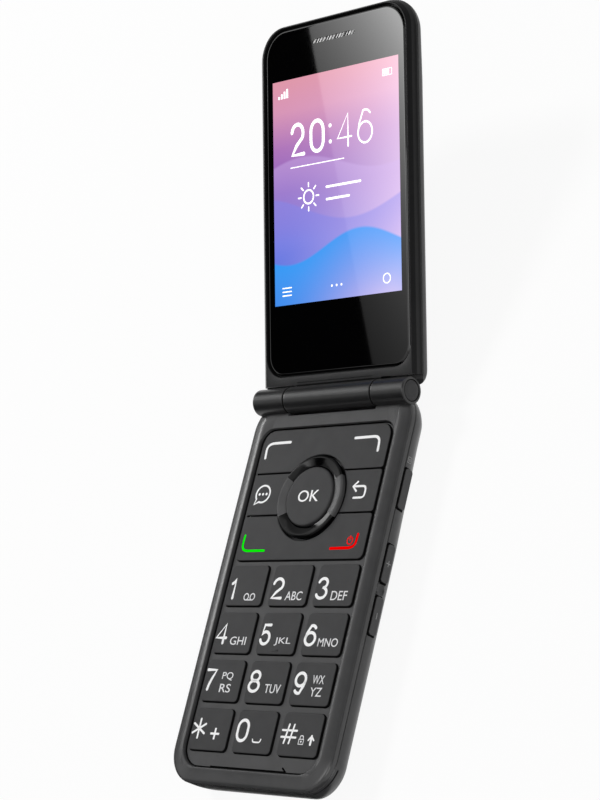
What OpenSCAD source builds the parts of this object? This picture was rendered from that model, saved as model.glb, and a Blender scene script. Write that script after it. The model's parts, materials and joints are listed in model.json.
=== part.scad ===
// Flip phone: a base with a keypad and a lid with the display, joined by a barrel hinge.
// The part's origin is the middle of the base's flat back, which it rests on. +Y points from the
// keypad to the hinge and +Z up. Base pieces are drawn about the hinge axis, with "s" the distance
// from the axis towards the keypad end. Lid pieces use the lid's own axes: Y along the lid, Z out
// of the display.

/* [Base] */
// Width of the rim beside the keypad
rim_w = 4.05; // [3.6:0.05:4.6]
// Width of the rim past the keypad's far end
chin_w = 4; // [3.6:0.1:5]
// Hinge axis to the hinge end of the base, behind the axis
base_end = 1.5; // [1:0.1:2]
// Thickness of the base, from its rim to its flat back
base_t = 10.2; // [10:0.1:13]
// How far the rim lies below the hinge axis
rim_drop = 0.1; // [0:0.05:0.3]
// Corner radius of the base at the keypad end
base_corner = 8.5; // [7:0.1:10]
// Corner radius of the base at the hinge end
base_hinge_corner = 9; // [8:0.1:10]
// Radius of the curve from the base's side to its back
base_curve = 6.5; // [5.5:0.1:7]
// Depth of the front housing, from the rim to the parting line
base_split = 2.2; // [2.1:0.05:2.5]
// Wall of the base's rear housing
base_wall = 1.7; // [1.5:0.1:2]
// Visible gap along each parting line
seam = 0.1; // [0.05:0.01:0.15]

/* [Keypad] */
// Space between the keys and the wall of their recess
recess_gap = 1.1; // [0.8:0.05:1.4]
// Hinge axis to the hinge end of the recess
recess_s0 = 7.2; // [7:0.1:7.5]
// Space between the last row and the far wall of the recess, where the microphone slit lies
mic_gap = 3.9; // [3.4:0.1:4.5]
// Depth of the recess below the rim
recess_depth = 0.9; // [0.8:0.05:1.2]
// Thickness of the recess floor
floor_t = 1; // [0.8:0.05:1.1]
// Height of the keys above the recess floor
key_rise = 0.55; // [0.4:0.05:0.7]
// Travel of each key
key_travel = 0.3; // [0.2:0.05:0.35]
// Gap between a key and the opening that it slides in
key_gap = 0.12; // [0.08:0.01:0.15]
// Width of a number key
key_w = 12.6; // [11:0.1:14]
// Length of a number key
key_l = 10.2; // [9:0.1:11]
// Spacing of the key columns
col_pitch = 14.85; // [14.6:0.05:16]
// Spacing of the key rows
row_pitch = 11.93; // [11.7:0.01:13]
// Space between the call plate and the first row
first_row_gap = 1.36; // [1:0.01:2]
// Gap between neighbouring plates
plate_gap = 0.35; // [0.3:0.05:0.5]
// Hinge axis to the near edge of the soft key plate
plates_s0 = 7.75; // [7.6:0.05:8]
// Hinge axis to the line under the soft key plate
plates_s1 = 19.2; // [19:0.1:19.5]
// Hinge axis to the line under the message and back keys
plates_s2 = 30.2; // [30:0.1:30.5]
// Hinge axis to the far edge of the call plate
plates_s3 = 41.75; // [41.3:0.05:41.9]
// Hinge axis to the middle of the navigation ring
nav_s = 25.9; // [25.6:0.1:26.2]
// Outer radius of the navigation ring
nav_r = 10.6; // [10:0.1:10.7]
// Radius of the OK key
ok_r = 7.55; // [7:0.05:7.7]
// Height of the navigation ring above the plates
nav_rise = 0.9; // [0.6:0.05:1]
// Half width of the cut between the ring and the message and back keys
nav_side_cut = 11.9; // [11.7:0.1:12.2]

/* [Hinge] */
// Radius of the hinge barrel
barrel_r = 3.36; // [3.2:0.02:3.5]
// Half length of the lid's middle barrel
barrel_half = 14.55; // [13.5:0.05:15]
// How far the hinge's ends lie inside the base's sides
knuckle_inset = 1.1; // [0.9:0.1:1.6]
// Gap between the barrels along the axis
barrel_gap = 0.1; // [0.08:0.01:0.15]
// Clearance of the base's slot round the lid's barrel
slot_clear = 0.7; // [0.6:0.05:0.8]
// Clearance of the lid's end round the base's knuckles
scallop_clear = 0.8; // [0.6:0.05:0.9]
// Radius of the hinge cartridge in the right knuckle
cartridge_r = 2.4; // [2.2:0.05:2.5]
// Radius of the hinge shafts
shaft_r = 1.3; // [1.1:0.05:1.5]
// Running clearance of the hinge shafts
running = 0.05; // [0.03:0.01:0.08]
// Lid above the horizontal when fully open
rest_angle = 20; // [15:1:25]

/* [Lid] */
// How much shorter the lid is than the base
lid_short = 1.7; // [0:0.1:2]
// Hinge axis to the hinge end of the lid
lid_start = 1.5; // [1.3:0.1:2]
// Thickness of the lid, from its frame to its flat back
lid_t = 7; // [6.9:0.1:8]
// How far the lid's frame lies behind the hinge axis
frame_drop = 0.95; // [0.8:0.05:1.2]
// Depth of the lid's front housing, from the frame to the parting line
lid_split = 1.95; // [1.9:0.05:2.1]
// Corner radius at the top of the lid
lid_corner = 8.2; // [7.8:0.1:9.5]
// Radius of the curve from the lid's side to its back
lid_curve = 4; // [3.6:0.1:4.2]
// How much higher the side's curve ends at the top of the lid
lid_top_taper = 0.9; // [0.5:0.1:1.2]
// Width of the frame beside the window
frame_w = 2.55; // [2.4:0.05:2.8]
// Hinge axis to the lower edge of the window
window_s0 = 6.5; // [6.3:0.1:7]
// Width of the frame above the window
frame_top_w = 1.3; // [1.1:0.1:1.8]
// How far the window lies below the frame
window_drop = 0.4; // [0.3:0.05:0.5]
// Thickness of the window
window_t = 1; // [0.8:0.05:1.1]
// Diagonal of the main display's picture, with sides of 3 to 4
display_diagonal = 71.2; // [68:0.1:72]
// Top of the lid to the upper edge of the picture
display_drop = 14.14; // [13.5:0.01:15]
// Top of the lid to the middle of the earpiece slot
earpiece_drop = 5.9; // [5.4:0.1:6.5]
// Length of the earpiece slot
earpiece_w = 14.6; // [12:0.1:16]

/* [Side keys] */
// Hinge axis to the near end of the camera key
camera_key_near = 18.7; // [18:0.1:21]
// Length of the camera key
camera_key_l = 9.8; // [8:0.1:11]
// Hinge axis to the near end of the volume up key
volume_near = 37.4; // [36:0.1:40]
// Length of each volume key
volume_key_l = 9.1; // [8:0.1:10]
// Space between the volume keys, where the finger scoop lies
volume_gap = 3.5; // [2.8:0.1:4]
// How far the side keys stand out
side_key_out = 0.45; // [0.3:0.05:0.5]
// Depth of the side keys' near edge below the hinge axis
side_key_top = 2.55; // [2.5:0.05:2.8]
// Height of the side keys
side_key_h = 2.5; // [2:0.1:2.6]

/* [Ports] */
// Bore of the headset socket
jack_r = 1.8; // [1.75:0.05:1.85]
// Depth of the headset socket
jack_depth = 14; // [14:0.5:15]
// Hinge axis to the headset socket
jack_s = 19.5; // [19:0.1:20]
// Hinge axis to the middle of the charging socket
usb_s = 31; // [29:0.5:32]

/* [Battery] */
// Side of the base to the side of the battery
battery_side = 10.1; // [10:0.1:12]
// Keypad end of the base to the end of the battery
battery_end = 14; // [13:0.5:20]
// Hinge axis to the near edge of the battery cover
cover_s0 = 36; // [35:0.5:38]
// Depth of the battery cover's seam below the rim
cover_split = 7.1; // [7:0.05:7.3]

/* [Hidden] */
$fn = 48;
FORM_FN = 32;

eps = 0.01;
far = 400;
// The keys set the size of the recess, and the recess that of the base
plate_half_w = col_pitch + key_w / 2;
recess_half_w = plate_half_w + recess_gap;
half_w = recess_half_w + rim_w;
last_row_s = plates_s3 + first_row_gap + 3 * row_pitch + key_l;
recess_s1 = last_row_s + mic_gap;
base_l = recess_s1 + chin_w;
knuckle_end = half_w - knuckle_inset;
lid_l = base_l - lid_short;
window_half_w = half_w - frame_w;
window_s1 = lid_l - frame_top_w;
earpiece_s = lid_l - earpiece_drop;
camera_key_s = [camera_key_near, camera_key_near + camera_key_l];
volume_up_s = [volume_near, volume_near + volume_key_l];
volume_down_s = [for (s = volume_up_s) s + volume_key_l + volume_gap];
battery_half_w = half_w - battery_side;
hinge_z = base_t + rim_drop;
hinge_y = (base_l - base_end) / 2;

// Levels of the base, measured from the hinge axis
rim_z = -rim_drop;
floor_z = rim_z - recess_depth;
floor_back = floor_z - floor_t;
split_z = rim_z - base_split;
key_top = floor_z + key_rise;
key_back = floor_back;
plunger_h = 0.65;
dome_z = key_back - plunger_h - key_travel - 0.05;
dome_t = 0.1;
board_z = dome_z - dome_t;
board_t = 1;
board_back = board_z - board_t;
base_back = rim_z - base_t;
cover_z = rim_z - cover_split;

// Levels of the lid, measured from the hinge axis
frame_z = -frame_drop;
window_z = frame_z - window_drop;
window_back = window_z - window_t;
display_t = 1.8;
display_back = window_back - display_t;
lid_board_t = 0.6;
lid_board_z = display_back - 0.1;
lid_board_back = lid_board_z - lid_board_t;
lid_split_z = frame_z - lid_split;
lid_back = frame_z - lid_t;
display_w = 0.6 * display_diagonal;
display_h = 0.8 * display_diagonal;
display_s0 = lid_l - display_drop - display_h;

module at_hinge() { translate([0, hinge_y, hinge_z]) children(); }
module on_lid() { at_hinge() rotate([rest_angle, 0, 0]) children(); }

// A rounded outline from x0 to x1 and y0 to y1, with radius r_low at y0 and r_high at y1
module outline(x0, x1, y0, y1, r_low, r_high) {
    for (x = [x0 + r_low, x1 - r_low]) translate([x, y0 + r_low]) circle(r_low);
    for (x = [x0 + r_high, x1 - r_high]) translate([x, y1 - r_high]) circle(r_high);
    translate([x0, y0 + r_low]) square([x1 - x0, y1 - y0 - r_low - r_high]);
    translate([x0 + r_low, y0]) square([x1 - x0 - 2 * r_low, r_low + eps]);
    translate([x0 + r_high, y1 - r_high - eps]) square([x1 - x0 - 2 * r_high, r_high + eps]);
}

// The same outline on the base: s0 is nearer the hinge
module base_outline(half, s0, s1, r_near, r_far) {
    outline(-half, half, -s1, -s0, r_far, r_near);
}

module slab(z0, z1) { translate([0, 0, z0]) linear_extrude(z1 - z0) children(); }
module box(x0, x1, y0, y1, z0, z1) { translate([x0, y0, z0]) cube([x1 - x0, y1 - y0, z1 - z0]); }
module base_box(x0, x1, s0, s1, z0, z1) { box(x0, x1, -s1, -s0, z0, z1); }
module along_x(x0, x1, r) { translate([x0, 0, 0]) rotate([0, 90, 0]) cylinder(r = r, h = x1 - x0); }
module both_sides() { children(); mirror([1, 0, 0]) children(); }

// ---------- outer forms ----------

// One level of a form: the four corners of an outline that is drawn in by the inset, as thin discs
module level(inset_x, y0, y1, r_low, r_high, z) {
    for (sx = [-1, 1]) {
        translate([sx * (half_w - inset_x - r_low), y0 + r_low, z - eps])
            cylinder(r = r_low, h = eps, $fn = FORM_FN);
        translate([sx * (half_w - inset_x - r_high), y1 - r_high, z - eps])
            cylinder(r = r_high, h = eps, $fn = FORM_FN);
    }
}

// The rim of the base rolls over to its side: inset and depth of each level
base_rim = [[2.1, 0], [1, 0.25], [0.3, 0.8], [0, 1.5]];
base_crown = [[9.5, base_t - 0.3]];
// The base lies on a flat patch with plain corners, drawn in from the sides by this much
base_patch_inset = 13.5;
// The side curve starts at this depth, and higher at the hinge end
base_curve_start = 3;
hinge_end_lift = 0.9;
hinge_end_s = 12;
keypad_end_s = 38;
function curve(r, start, angles) = [for (a = angles) [r * (1 - cos(a)), start + r * sin(a)]];

// The far end stands nearly upright below the rim: shares of the sides' inset that its wall and
// its corners take
far_end_share = 0.12;
far_corner_share = 0.45;

module base_levels(levels, y0, y1, r_low, r_high) {
    for (l = levels) {
        below = l[1] > base_split;
        far_inset = l[0] * (y0 > -base_l + 1 ? 0 : below ? far_end_share : 1);
        level(l[0], y0 + far_inset, y1 - (y1 > 0 ? l[0] : 0),
              max(r_low - l[0] * (below ? far_corner_share : 1), 1.5), max(r_high - l[0], 1.5),
              rim_z - l[1]);
    }
}

module base_patch() {
    box(-half_w + base_patch_inset, half_w - base_patch_inset,
        -base_l + base_patch_inset * far_end_share, base_end - base_patch_inset,
        base_back - eps, base_back);
}

module base_form() {
    hull() {
        base_patch();
        base_levels(base_rim, -base_l, base_end, base_corner, base_hinge_corner);
        base_levels(curve(base_curve, base_curve_start, [0:20:80]), -base_l, -keypad_end_s,
                    base_corner, 1.5);
        base_levels(curve(base_curve, base_curve_start - hinge_end_lift, [10:20:70]),
                    -hinge_end_s, base_end, 1.5, base_hinge_corner);
        base_levels(base_crown, -base_l, base_end, base_corner, base_hinge_corner);
    }
}

// The lid's frame edge is narrow at the top and wide at the sides: side inset, top inset, depth
lid_rim = [[1.9, 0.7, 0], [0.9, 0.25, 0.8], [0, 0, 1.85], [0, 0, lid_split]];
lid_crown = [[6.5, 6.5, lid_t - 0.6], [9.5, 9.5, lid_t - 0.15], [12, 12, lid_t]];
lid_hinge_corner = 2;

// The sides' curve starts to rise at this distance from the top
lid_taper_l = 20;

function lid_side(taper) = [for (c = curve(lid_curve, lid_split, [20:20:80]))
    [c[0], c[0], c[1] - taper * (c[1] - lid_split) / lid_curve]];

module lid_levels(levels, y0, y1) {
    for (l = levels) {
        behind = l[2] > lid_split;
        level(l[0], y0 + (behind && y0 < lid_start + 1 ? l[0] : 0),
              y1 - (y1 > lid_l - 1 ? l[1] : 0),
              lid_hinge_corner + (behind ? min(l[0], 4) : 0),
              max(lid_corner - l[0], 2), frame_z - l[2]);
    }
}

module lid_form() {
    hull() {
        lid_levels(concat(lid_rim, lid_crown), lid_start, lid_l);
        lid_levels(lid_side(0), lid_start, lid_l - lid_taper_l);
        lid_levels(lid_side(lid_top_taper), lid_l - lid_taper_l, lid_l);
    }
}

// ---------- keys ----------

plate_r = 0.8;
key_r = 1.1;
nav_cut_r = nav_r + 0.4;
skirt = 0.4;
skirt_t = 0.45;

function col_x(c) = (c - 1) * col_pitch;
function row_s1(r) = last_row_s - (3 - r) * row_pitch;
// Plunger positions under the wide plates
plate_dome_x = 14.5;

module number_outline(c, r, grow = 0) {
    translate([col_x(c), 0])
        base_outline(key_w / 2 + grow, row_s1(r) - key_l - grow, row_s1(r) + grow, key_r, key_r);
}

module softkey_outline(grow = 0) {
    difference() {
        base_outline(plate_half_w + grow, plates_s0 - grow, plates_s1 - plate_gap / 2 + grow,
                     3.2, plate_r);
        translate([0, -nav_s]) circle(nav_cut_r - grow);
    }
}

module side_plate_outline(grow = 0) {
    difference() {
        outline(nav_side_cut - 4, plate_half_w + grow, -plates_s2 + plate_gap / 2 - grow,
                -plates_s1 - plate_gap / 2 + grow, plate_r, plate_r);
        translate([0, -nav_s]) circle(nav_cut_r - grow);
        translate([nav_side_cut - 12 - grow, -plates_s2 - 1])
            square([12, plates_s2 - plates_s1 + 2]);
    }
}

module call_outline(grow = 0) {
    difference() {
        base_outline(plate_half_w + grow, plates_s2 + plate_gap / 2 - grow, plates_s3 + grow,
                     plate_r, 1.6);
        translate([0, -nav_s]) circle(nav_cut_r - grow);
    }
}

// A round rib along the underside of a plate, about which it rocks
rib_r = 0.45;
module rocker_rib(s0, s1) {
    translate([0, -s1, key_back]) rotate([-90, 0, 0]) cylinder(r = rib_r, h = s1 - s0);
}

// A plunger presses the dome under a key
module plunger(x, s) {
    translate([x, -s, key_back - plunger_h]) cylinder(r = 1.2, h = plunger_h);
}

module number_key(c, r) {
    color("#4a4a4c") at_hinge() {
        slab(key_back, key_top) number_outline(c, r);
        // The skirt under the floor keeps the key in
        slab(key_back - running - skirt_t, key_back - running) number_outline(c, r, skirt);
        slab(key_back - running, key_back) number_outline(c, r);
        plunger(col_x(c), row_s1(r) - key_l / 2);
    }
}

module softkey_plate() {
    color("#4a4a4c") at_hinge() {
        slab(key_back, key_top) softkey_outline();
        rocker_rib(plates_s0 + 0.5, nav_s - nav_cut_r - 0.3);
        both_sides() plunger(plate_dome_x, (plates_s0 + plates_s1) / 2);
    }
}

module side_plate(side) {
    color("#4a4a4c") at_hinge() mirror([side < 0 ? 1 : 0, 0, 0]) {
        slab(key_back, key_top) side_plate_outline();
        plunger((nav_side_cut + plate_half_w) / 2, (plates_s1 + plates_s2) / 2);
    }
}

module call_plate() {
    color("#4a4a4c") at_hinge() {
        slab(key_back, key_top) call_outline();
        rocker_rib(nav_s + nav_cut_r + 0.3, plates_s3 - 0.5);
        both_sides() plunger(plate_dome_x, plates_s3 - 4.5);
    }
}

nav_top = key_top + nav_rise;
ok_gap = 0.15;
carrier_t = 0.5;
rocker_gap = 0.35;
pivot_r = 0.3;
module at_nav() { at_hinge() translate([0, -nav_s, 0]) children(); }

// The ring rocks up and down on its carrier, and the carrier rocks left and right
ring_back = key_back + carrier_t + rocker_gap;
module nav_ring() {
    color("#2b2b2d") at_nav() {
        rotate_extrude() polygon([
            [ok_r + ok_gap, ring_back], [nav_r - 0.6, ring_back],
            [nav_r - 0.6, key_top - 0.1], [nav_r, key_top - 0.1], [nav_r, nav_top - 0.35],
            [nav_r - 0.35, nav_top], [ok_r + ok_gap + 0.4, nav_top - 0.1],
            [ok_r + ok_gap, nav_top - 0.4]]);
        both_sides() translate([0, 0, ring_back])
            along_x(ok_r + ok_gap + 0.1, nav_r - 0.7, pivot_r);
    }
}

module nav_carrier() {
    color("#39393b") at_nav() {
        slab(key_back, key_back + carrier_t) difference() {
            circle(nav_r - 0.6);
            circle(ok_r + ok_gap);
        }
        for (a = [0:90:270]) rotate([0, 0, a])
            translate([(nav_r + ok_r) / 2 - 0.2, 0, key_back - plunger_h])
                cylinder(r = 0.9, h = plunger_h + eps);
        for (a = [90, 270]) rotate([0, 0, a]) translate([0, 0, key_back])
            along_x(ok_r + ok_gap + 0.1, nav_r, pivot_r);
    }
}

module ok_key() {
    color("#4a4a4c") at_nav() {
        slab(key_back, nav_top - 0.25) circle(ok_r);
        slab(nav_top - 0.25, nav_top) circle(ok_r - 0.15);
        translate([0, 0, key_back - plunger_h]) cylinder(r = 1.2, h = plunger_h);
    }
}

// ---------- base housings ----------

cavity_r = 6;
// Half width, distance from each end and lowest level of the three steps of the base's inside
base_cavity_steps = [
    [half_w - base_wall - 0.2, 1.9, rim_z - 5.1],
    [half_w - 5.3, 5.3, cover_z + seam],
    [battery_half_w + 0.3, battery_end - 4.2, base_back + 1.3]];
cavity_floor = base_cavity_steps[2][2];

module base_cavity(top) {
    for (c = base_cavity_steps)
        slab(c[2], top) base_outline(c[0], c[1] + 3, base_l - c[1], cavity_r, cavity_r);
}

// Each screw's place and the level that its head is sunk to, at the hinge end and under the cover
screw_spots = [[half_w - 7.3, recess_s0, base_back + 3],
               [half_w - 8.8, base_l - 4.4, cover_z + seam + 1]];
screw_r = 0.75;
screw_head_r = 1.6;
screw_head_t = 0.9;
screw_tip = floor_back - 1.4;
boss_r = 1.9;
module screw_holes(r) {
    both_sides() for (p = screw_spots) translate([p[0], -p[1], 0]) {
        translate([0, 0, p[2] - eps]) cylinder(r = r, h = screw_tip + 0.2 - p[2]);
        translate([0, 0, -far]) cylinder(r = screw_head_r + 0.1, h = far + p[2]);
    }
}

// Bosses of the front housing reach down to the rear housing's floor and take the screws
module bosses() {
    both_sides() for (p = screw_spots)
        translate([p[0], -p[1], base_cavity_steps[0][2] + 0.05])
            cylinder(r = boss_r, h = floor_back + eps - base_cavity_steps[0][2] - 0.05);
}

module keypad_openings(grow) {
    base_outline(plate_half_w + grow, plates_s0 - grow, plates_s3 + grow, 3.2, 1.6);
    for (c = [0:2], r = [0:3]) number_outline(c, r, grow);
}

module barrel_slot(clear) {
    along_x(-barrel_half - barrel_gap, barrel_half + barrel_gap, barrel_r + clear);
}

cap_r = 2.6;
cap_t = 0.8;
cartridge_x0 = barrel_half + barrel_gap + 1;
cartridge_x1 = knuckle_end - cap_t - 0.5;

// The microphone slit lies along the far edge of the recess, with a small tick at its right end
mic_half = 12.6;
module microphone_slit() {
    slab(floor_z - 0.6, rim_z) {
        base_outline(mic_half, recess_s1 - 0.5, recess_s1, 0.2, 0.2);
        translate([mic_half - 1.6, -recess_s1 + 0.4]) polygon([[0, 0], [1.5, 0], [0.2, 1.1]]);
    }
}

module base_front_housing() {
    color("#3c3c3e") at_hinge() difference() {
        union() {
            difference() {
                intersection() {
                    base_form();
                    base_box(-far, far, -far, far, split_z, far);
                }
                slab(split_z - 1, floor_back) base_outline(base_cavity_steps[0][0],
                    base_cavity_steps[0][1] + 3, base_l - base_cavity_steps[0][1], cavity_r, cavity_r);
            }
            both_sides() along_x(barrel_half + barrel_gap, knuckle_end, barrel_r);
            bosses();
        }
        slab(floor_z, far) base_outline(recess_half_w, recess_s0, recess_s1, 4, 5.5);
        slab(split_z - 1, far) keypad_openings(key_gap);
        barrel_slot(slot_clear);
        both_sides() {
            along_x(knuckle_end, far, barrel_r + seam);
            along_x(knuckle_end - cap_t, far, cap_r + running);
            along_x(barrel_half, cartridge_x0 + 3, shaft_r + running);
        }
        along_x(cartridge_x0, knuckle_end, cartridge_r + running);
        along_x(-cartridge_x0 - 5, -barrel_half, shaft_r + running);
        both_sides() for (p = screw_spots)
            translate([p[0], -p[1], -far]) cylinder(r = screw_r + 0.05, h = far + screw_tip + 0.1);
        microphone_slit();
    }
}

speaker_spot = [-1, 15];
speaker_half = [7, 5.5];
module speaker_slots(z0, z1) {
    for (i = [-2:2]) translate([speaker_spot[0] + i * 2.2, -speaker_spot[1]])
        slab(z0, z1) outline(-0.4, 0.4, -3.5, 3.5, 0.39, 0.39);
}

side_key_x = half_w + side_key_out;
module side_key_shape(ends, x0, x1, grow) {
    translate([0, 0, -side_key_top - side_key_h / 2]) rotate([90, 0, 90]) slab(x0, x1)
        outline(-ends[1] - grow, -ends[0] + grow, -side_key_h / 2 - grow, side_key_h / 2 + grow,
                0.7, 0.7);
}
// The opening of a side key runs up to the parting line
module side_key_opening(ends) {
    side_key_shape(ends, half_w - 3.5, far, key_gap);
    base_box(half_w - 3.5, far, ends[0] - key_gap, ends[1] + key_gap,
             -side_key_top - side_key_h / 2, 0);
}

jack_half = jack_r + 0.3;
jack_z = split_z - jack_half - 0.25;
jack_x = half_w - 3.1;
usb_half = [3.8, 1.4];
usb_z = board_back - usb_half[1] - 0.1;
usb_x = half_w - 5;
usb_depth = 5.5;
socket_fit = 0.1;

module jack_block(grow) {
    box(-jack_x - grow, -jack_x + jack_depth + 0.4 + grow, -jack_s - jack_half - grow,
        -jack_s + jack_half + grow, jack_z - jack_half - grow, jack_z + jack_half + grow);
}
module usb_block(grow) {
    box(-usb_x - grow, -usb_x + usb_depth + grow, -usb_s - usb_half[0] - grow,
        -usb_s + usb_half[0] + grow, usb_z - usb_half[1] - grow, usb_z + usb_half[1]);
}

// A finger scoop between the volume keys, and a pry slot at the right keypad corner
scoop_r = 2.2;
module side_scoop() {
    translate([half_w + scoop_r * 0.6, -(volume_up_s[1] + volume_down_s[0]) / 2,
               -side_key_top - side_key_h / 2]) sphere(scoop_r);
}
module pry_slot() {
    translate([half_w - base_corner, -base_l + base_corner, split_z - 1.5])
        difference() {
            cylinder(r = base_corner + 1, h = 0.5);
            translate([0, 0, -1]) cylinder(r = base_corner - 0.7, h = 3);
            translate([-far, -far, -1]) cube([far, 2 * far, 3]);
            translate([-far, -2.2, -1]) cube([2 * far, far, 3]);
        }
}

module base_rear_housing() {
    color("#38383a") at_hinge() difference() {
        intersection() {
            base_form();
            base_box(-far, far, -far, far, -far, split_z - seam);
        }
        base_cavity(far);
        base_box(-far, far, cover_s0 - seam, far, -far, cover_z + seam);
        barrel_slot(slot_clear);
        both_sides() along_x(barrel_half, far, barrel_r + seam);
        for (k = [camera_key_s, volume_up_s, volume_down_s]) side_key_opening(k);
        side_scoop();
        pry_slot();
        jack_block(socket_fit);
        usb_block(socket_fit);
        translate([0, -jack_s, jack_z]) along_x(-far, -jack_x + 1, jack_r + 0.2);
        translate([-half_w - 1, -usb_s, usb_z]) rotate([90, 0, 90])
            linear_extrude(half_w - usb_x + 2) outline(-4.1, 4.1, -1.7, 1.7, 0.6, 0.6);
        speaker_slots(-far, 0);
        screw_holes(screw_r + 0.15);
    }
}

module battery_cover() {
    color("#333335") at_hinge() difference() {
        intersection() {
            base_form();
            base_box(-far, far, cover_s0, far, -far, cover_z);
        }
        base_cavity(0);
    }
}

// ---------- base inner pieces ----------

board_half = half_w - 5.1;
board_s = [recess_s0 + 3.3, base_l - 9];
module board_outline(grow) {
    difference() {
        base_outline(board_half + grow, board_s[0] - grow, board_s[1] + grow, 2, 2);
        // The headset socket lies in a notch of the board
        translate([-far, -jack_s - jack_half - 0.2])
            square([far - jack_x + jack_depth + 0.6, 2 * jack_half + 0.4]);
    }
}

module dome_sheet() {
    color("#c9c4b2") at_hinge() slab(board_z, dome_z) board_outline(-0.5);
}

module main_board() {
    color("#1f5a3c") at_hinge() slab(board_back, board_z) board_outline(0);
}

switch_x = [board_half + 0.02, half_w - 3.1];
module side_switches() {
    color("#b8b8bc") at_hinge() for (k = [camera_key_s, volume_up_s, volume_down_s])
        base_box(switch_x[0], switch_x[1] - 0.35, (k[0] + k[1]) / 2 - 1.8, (k[0] + k[1]) / 2 + 1.8,
                 -side_key_top - side_key_h + 0.3, -side_key_top - 0.3);
}

battery_s0 = cover_s0 + 3;
battery_s1 = base_l - battery_end;
battery_gap = 0.1;
battery_z = [cavity_floor + battery_gap, board_back - 0.4];
module battery() {
    color("#8f9296") at_hinge() slab(battery_z[0], battery_z[1])
        base_outline(battery_half_w, battery_s0, battery_s1, 1, 1);
}

module battery_contacts() {
    color("#c8a24a") at_hinge() for (i = [-1:1])
        base_box(i * 4 - 1, i * 4 + 1, battery_s0 - 2.2, battery_s0 - 0.1, -7, board_back);
}

module speaker_box(z0, z1) {
    base_box(speaker_spot[0] - speaker_half[0], speaker_spot[0] + speaker_half[0],
             speaker_spot[1] - 2, speaker_spot[1] + speaker_half[1], z0, z1);
}
module loudspeaker() {
    color("#2a2a2c") at_hinge() speaker_box(cavity_floor + 0.35, board_back - 0.1);
}

module speaker_mesh() {
    color("#161617") at_hinge() speaker_box(cavity_floor, cavity_floor + 0.3);
}

motor_r = 2;
module vibration_motor() {
    color("#9a9da1") at_hinge() translate([0, -speaker_spot[1] - 1, board_back - motor_r - 0.1])
        along_x(speaker_spot[0] + speaker_half[0] + 1, speaker_spot[0] + speaker_half[0] + 7.5,
                motor_r);
}

module card_socket() {
    color("#a9acb0") at_hinge()
        base_box(-6, 8, cover_s0 - 12, cover_s0 - 1, board_back - 1.5, board_back);
}

module usb_socket() {
    color("#a9acb0") at_hinge() difference() {
        usb_block(0);
        box(-usb_x - 1, -usb_x + usb_depth - 0.6, -usb_s - usb_half[0] + 0.3,
            -usb_s + usb_half[0] - 0.3, usb_z - usb_half[1] + 0.3, usb_z + usb_half[1] - 0.3);
    }
}

module headset_jack() {
    color("#1d1d1f") at_hinge() difference() {
        jack_block(0);
        translate([0, -jack_s, jack_z]) along_x(-jack_x - 1, -jack_x + jack_depth, jack_r);
    }
}

module microphone() {
    color("#a9acb0") at_hinge() translate([0, -board_s[1] + 2, board_back - 1])
        cylinder(r = 1.9, h = 1);
}

module base_screws() {
    color("#8b8d90") at_hinge() both_sides() for (p = screw_spots) translate([p[0], -p[1], p[2]]) {
        translate([0, 0, -screw_head_t]) cylinder(r = screw_head_r, h = screw_head_t);
        translate([0, 0, -eps]) cylinder(r = screw_r, h = screw_tip - p[2]);
    }
}

module side_key(ends) {
    color("#3f3f41") at_hinge() side_key_shape(ends, switch_x[1], side_key_x, 0);
}

// ---------- hinge ----------

module hinge_cartridge() {
    color("#a3a5a8") at_hinge() difference() {
        along_x(cartridge_x0 + 0.05, cartridge_x1, cartridge_r);
        along_x(cartridge_x0 - 1, cartridge_x0 + 5, shaft_r + running);
    }
}

module hinge_shaft() {
    color("#b9bbbe") at_hinge() along_x(barrel_half - 6, cartridge_x0 + 4.8, shaft_r);
}

module hinge_pin() {
    color("#b9bbbe") at_hinge() along_x(-barrel_half - 6, -barrel_half + 5.8, shaft_r);
}

module hinge_caps() {
    color("#444446") at_hinge() both_sides()
        along_x(knuckle_end - cap_t + 0.02, knuckle_end - 0.05, cap_r);
}

// The flex cable is rolled up inside the lid's barrel, between the two shafts
flex_r = 0.9;
flex_half = barrel_half - 6;
module flex_cable() {
    color("#7a4a21") on_lid() along_x(-flex_half, flex_half, flex_r);
}

// ---------- lid ----------

lid_wall = 1.7;
lid_frame_floor = 0.8;
lid_cavity_steps = [[half_w - 1.8, 1.8, lid_board_back - 0.1], [half_w - 8.2, 8.2, lid_back + 1.3]];
display_margin = [0.55, 1.9];
display_fit = 0.1;

module display_outline(grow) {
    outline(-display_w / 2 - display_margin[0] - grow, display_w / 2 + display_margin[0] + grow,
            display_s0 - display_margin[1] - grow,
            display_s0 + display_h + display_margin[1] + grow, 1, 1);
}

module lid_cavity(top) {
    for (c = lid_cavity_steps) slab(c[2], top)
        outline(-c[0], c[0], lid_start + 4 + c[1], lid_l - c[1], 3, 6);
}

module lid_scallops() {
    both_sides() along_x(barrel_half + barrel_gap / 2, far, barrel_r + scallop_clear);
}

// The neck joins the middle barrel to the lid, with three fine steps across it
neck_z = [-3, frame_z - 0.1];
neck_step_s = 3.1;
neck_step_w = 0.3;
module neck_steps() {
    for (i = [0:2]) box(-barrel_half + 1, barrel_half - 3, neck_step_s + i * 0.62,
                        neck_step_s + i * 0.62 + neck_step_w, neck_z[1] - 0.18, 0);
}

slot_r = 0.85;
module earpiece_slot(z0, z1, grow) {
    slab(z0, z1) translate([0, earpiece_s]) {
        for (sx = [-1, 1]) translate([sx * (earpiece_w / 2 - slot_r), 0]) circle(slot_r + grow);
        square([earpiece_w - 2 * slot_r, 2 * (slot_r + grow)], center = true);
    }
}

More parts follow.
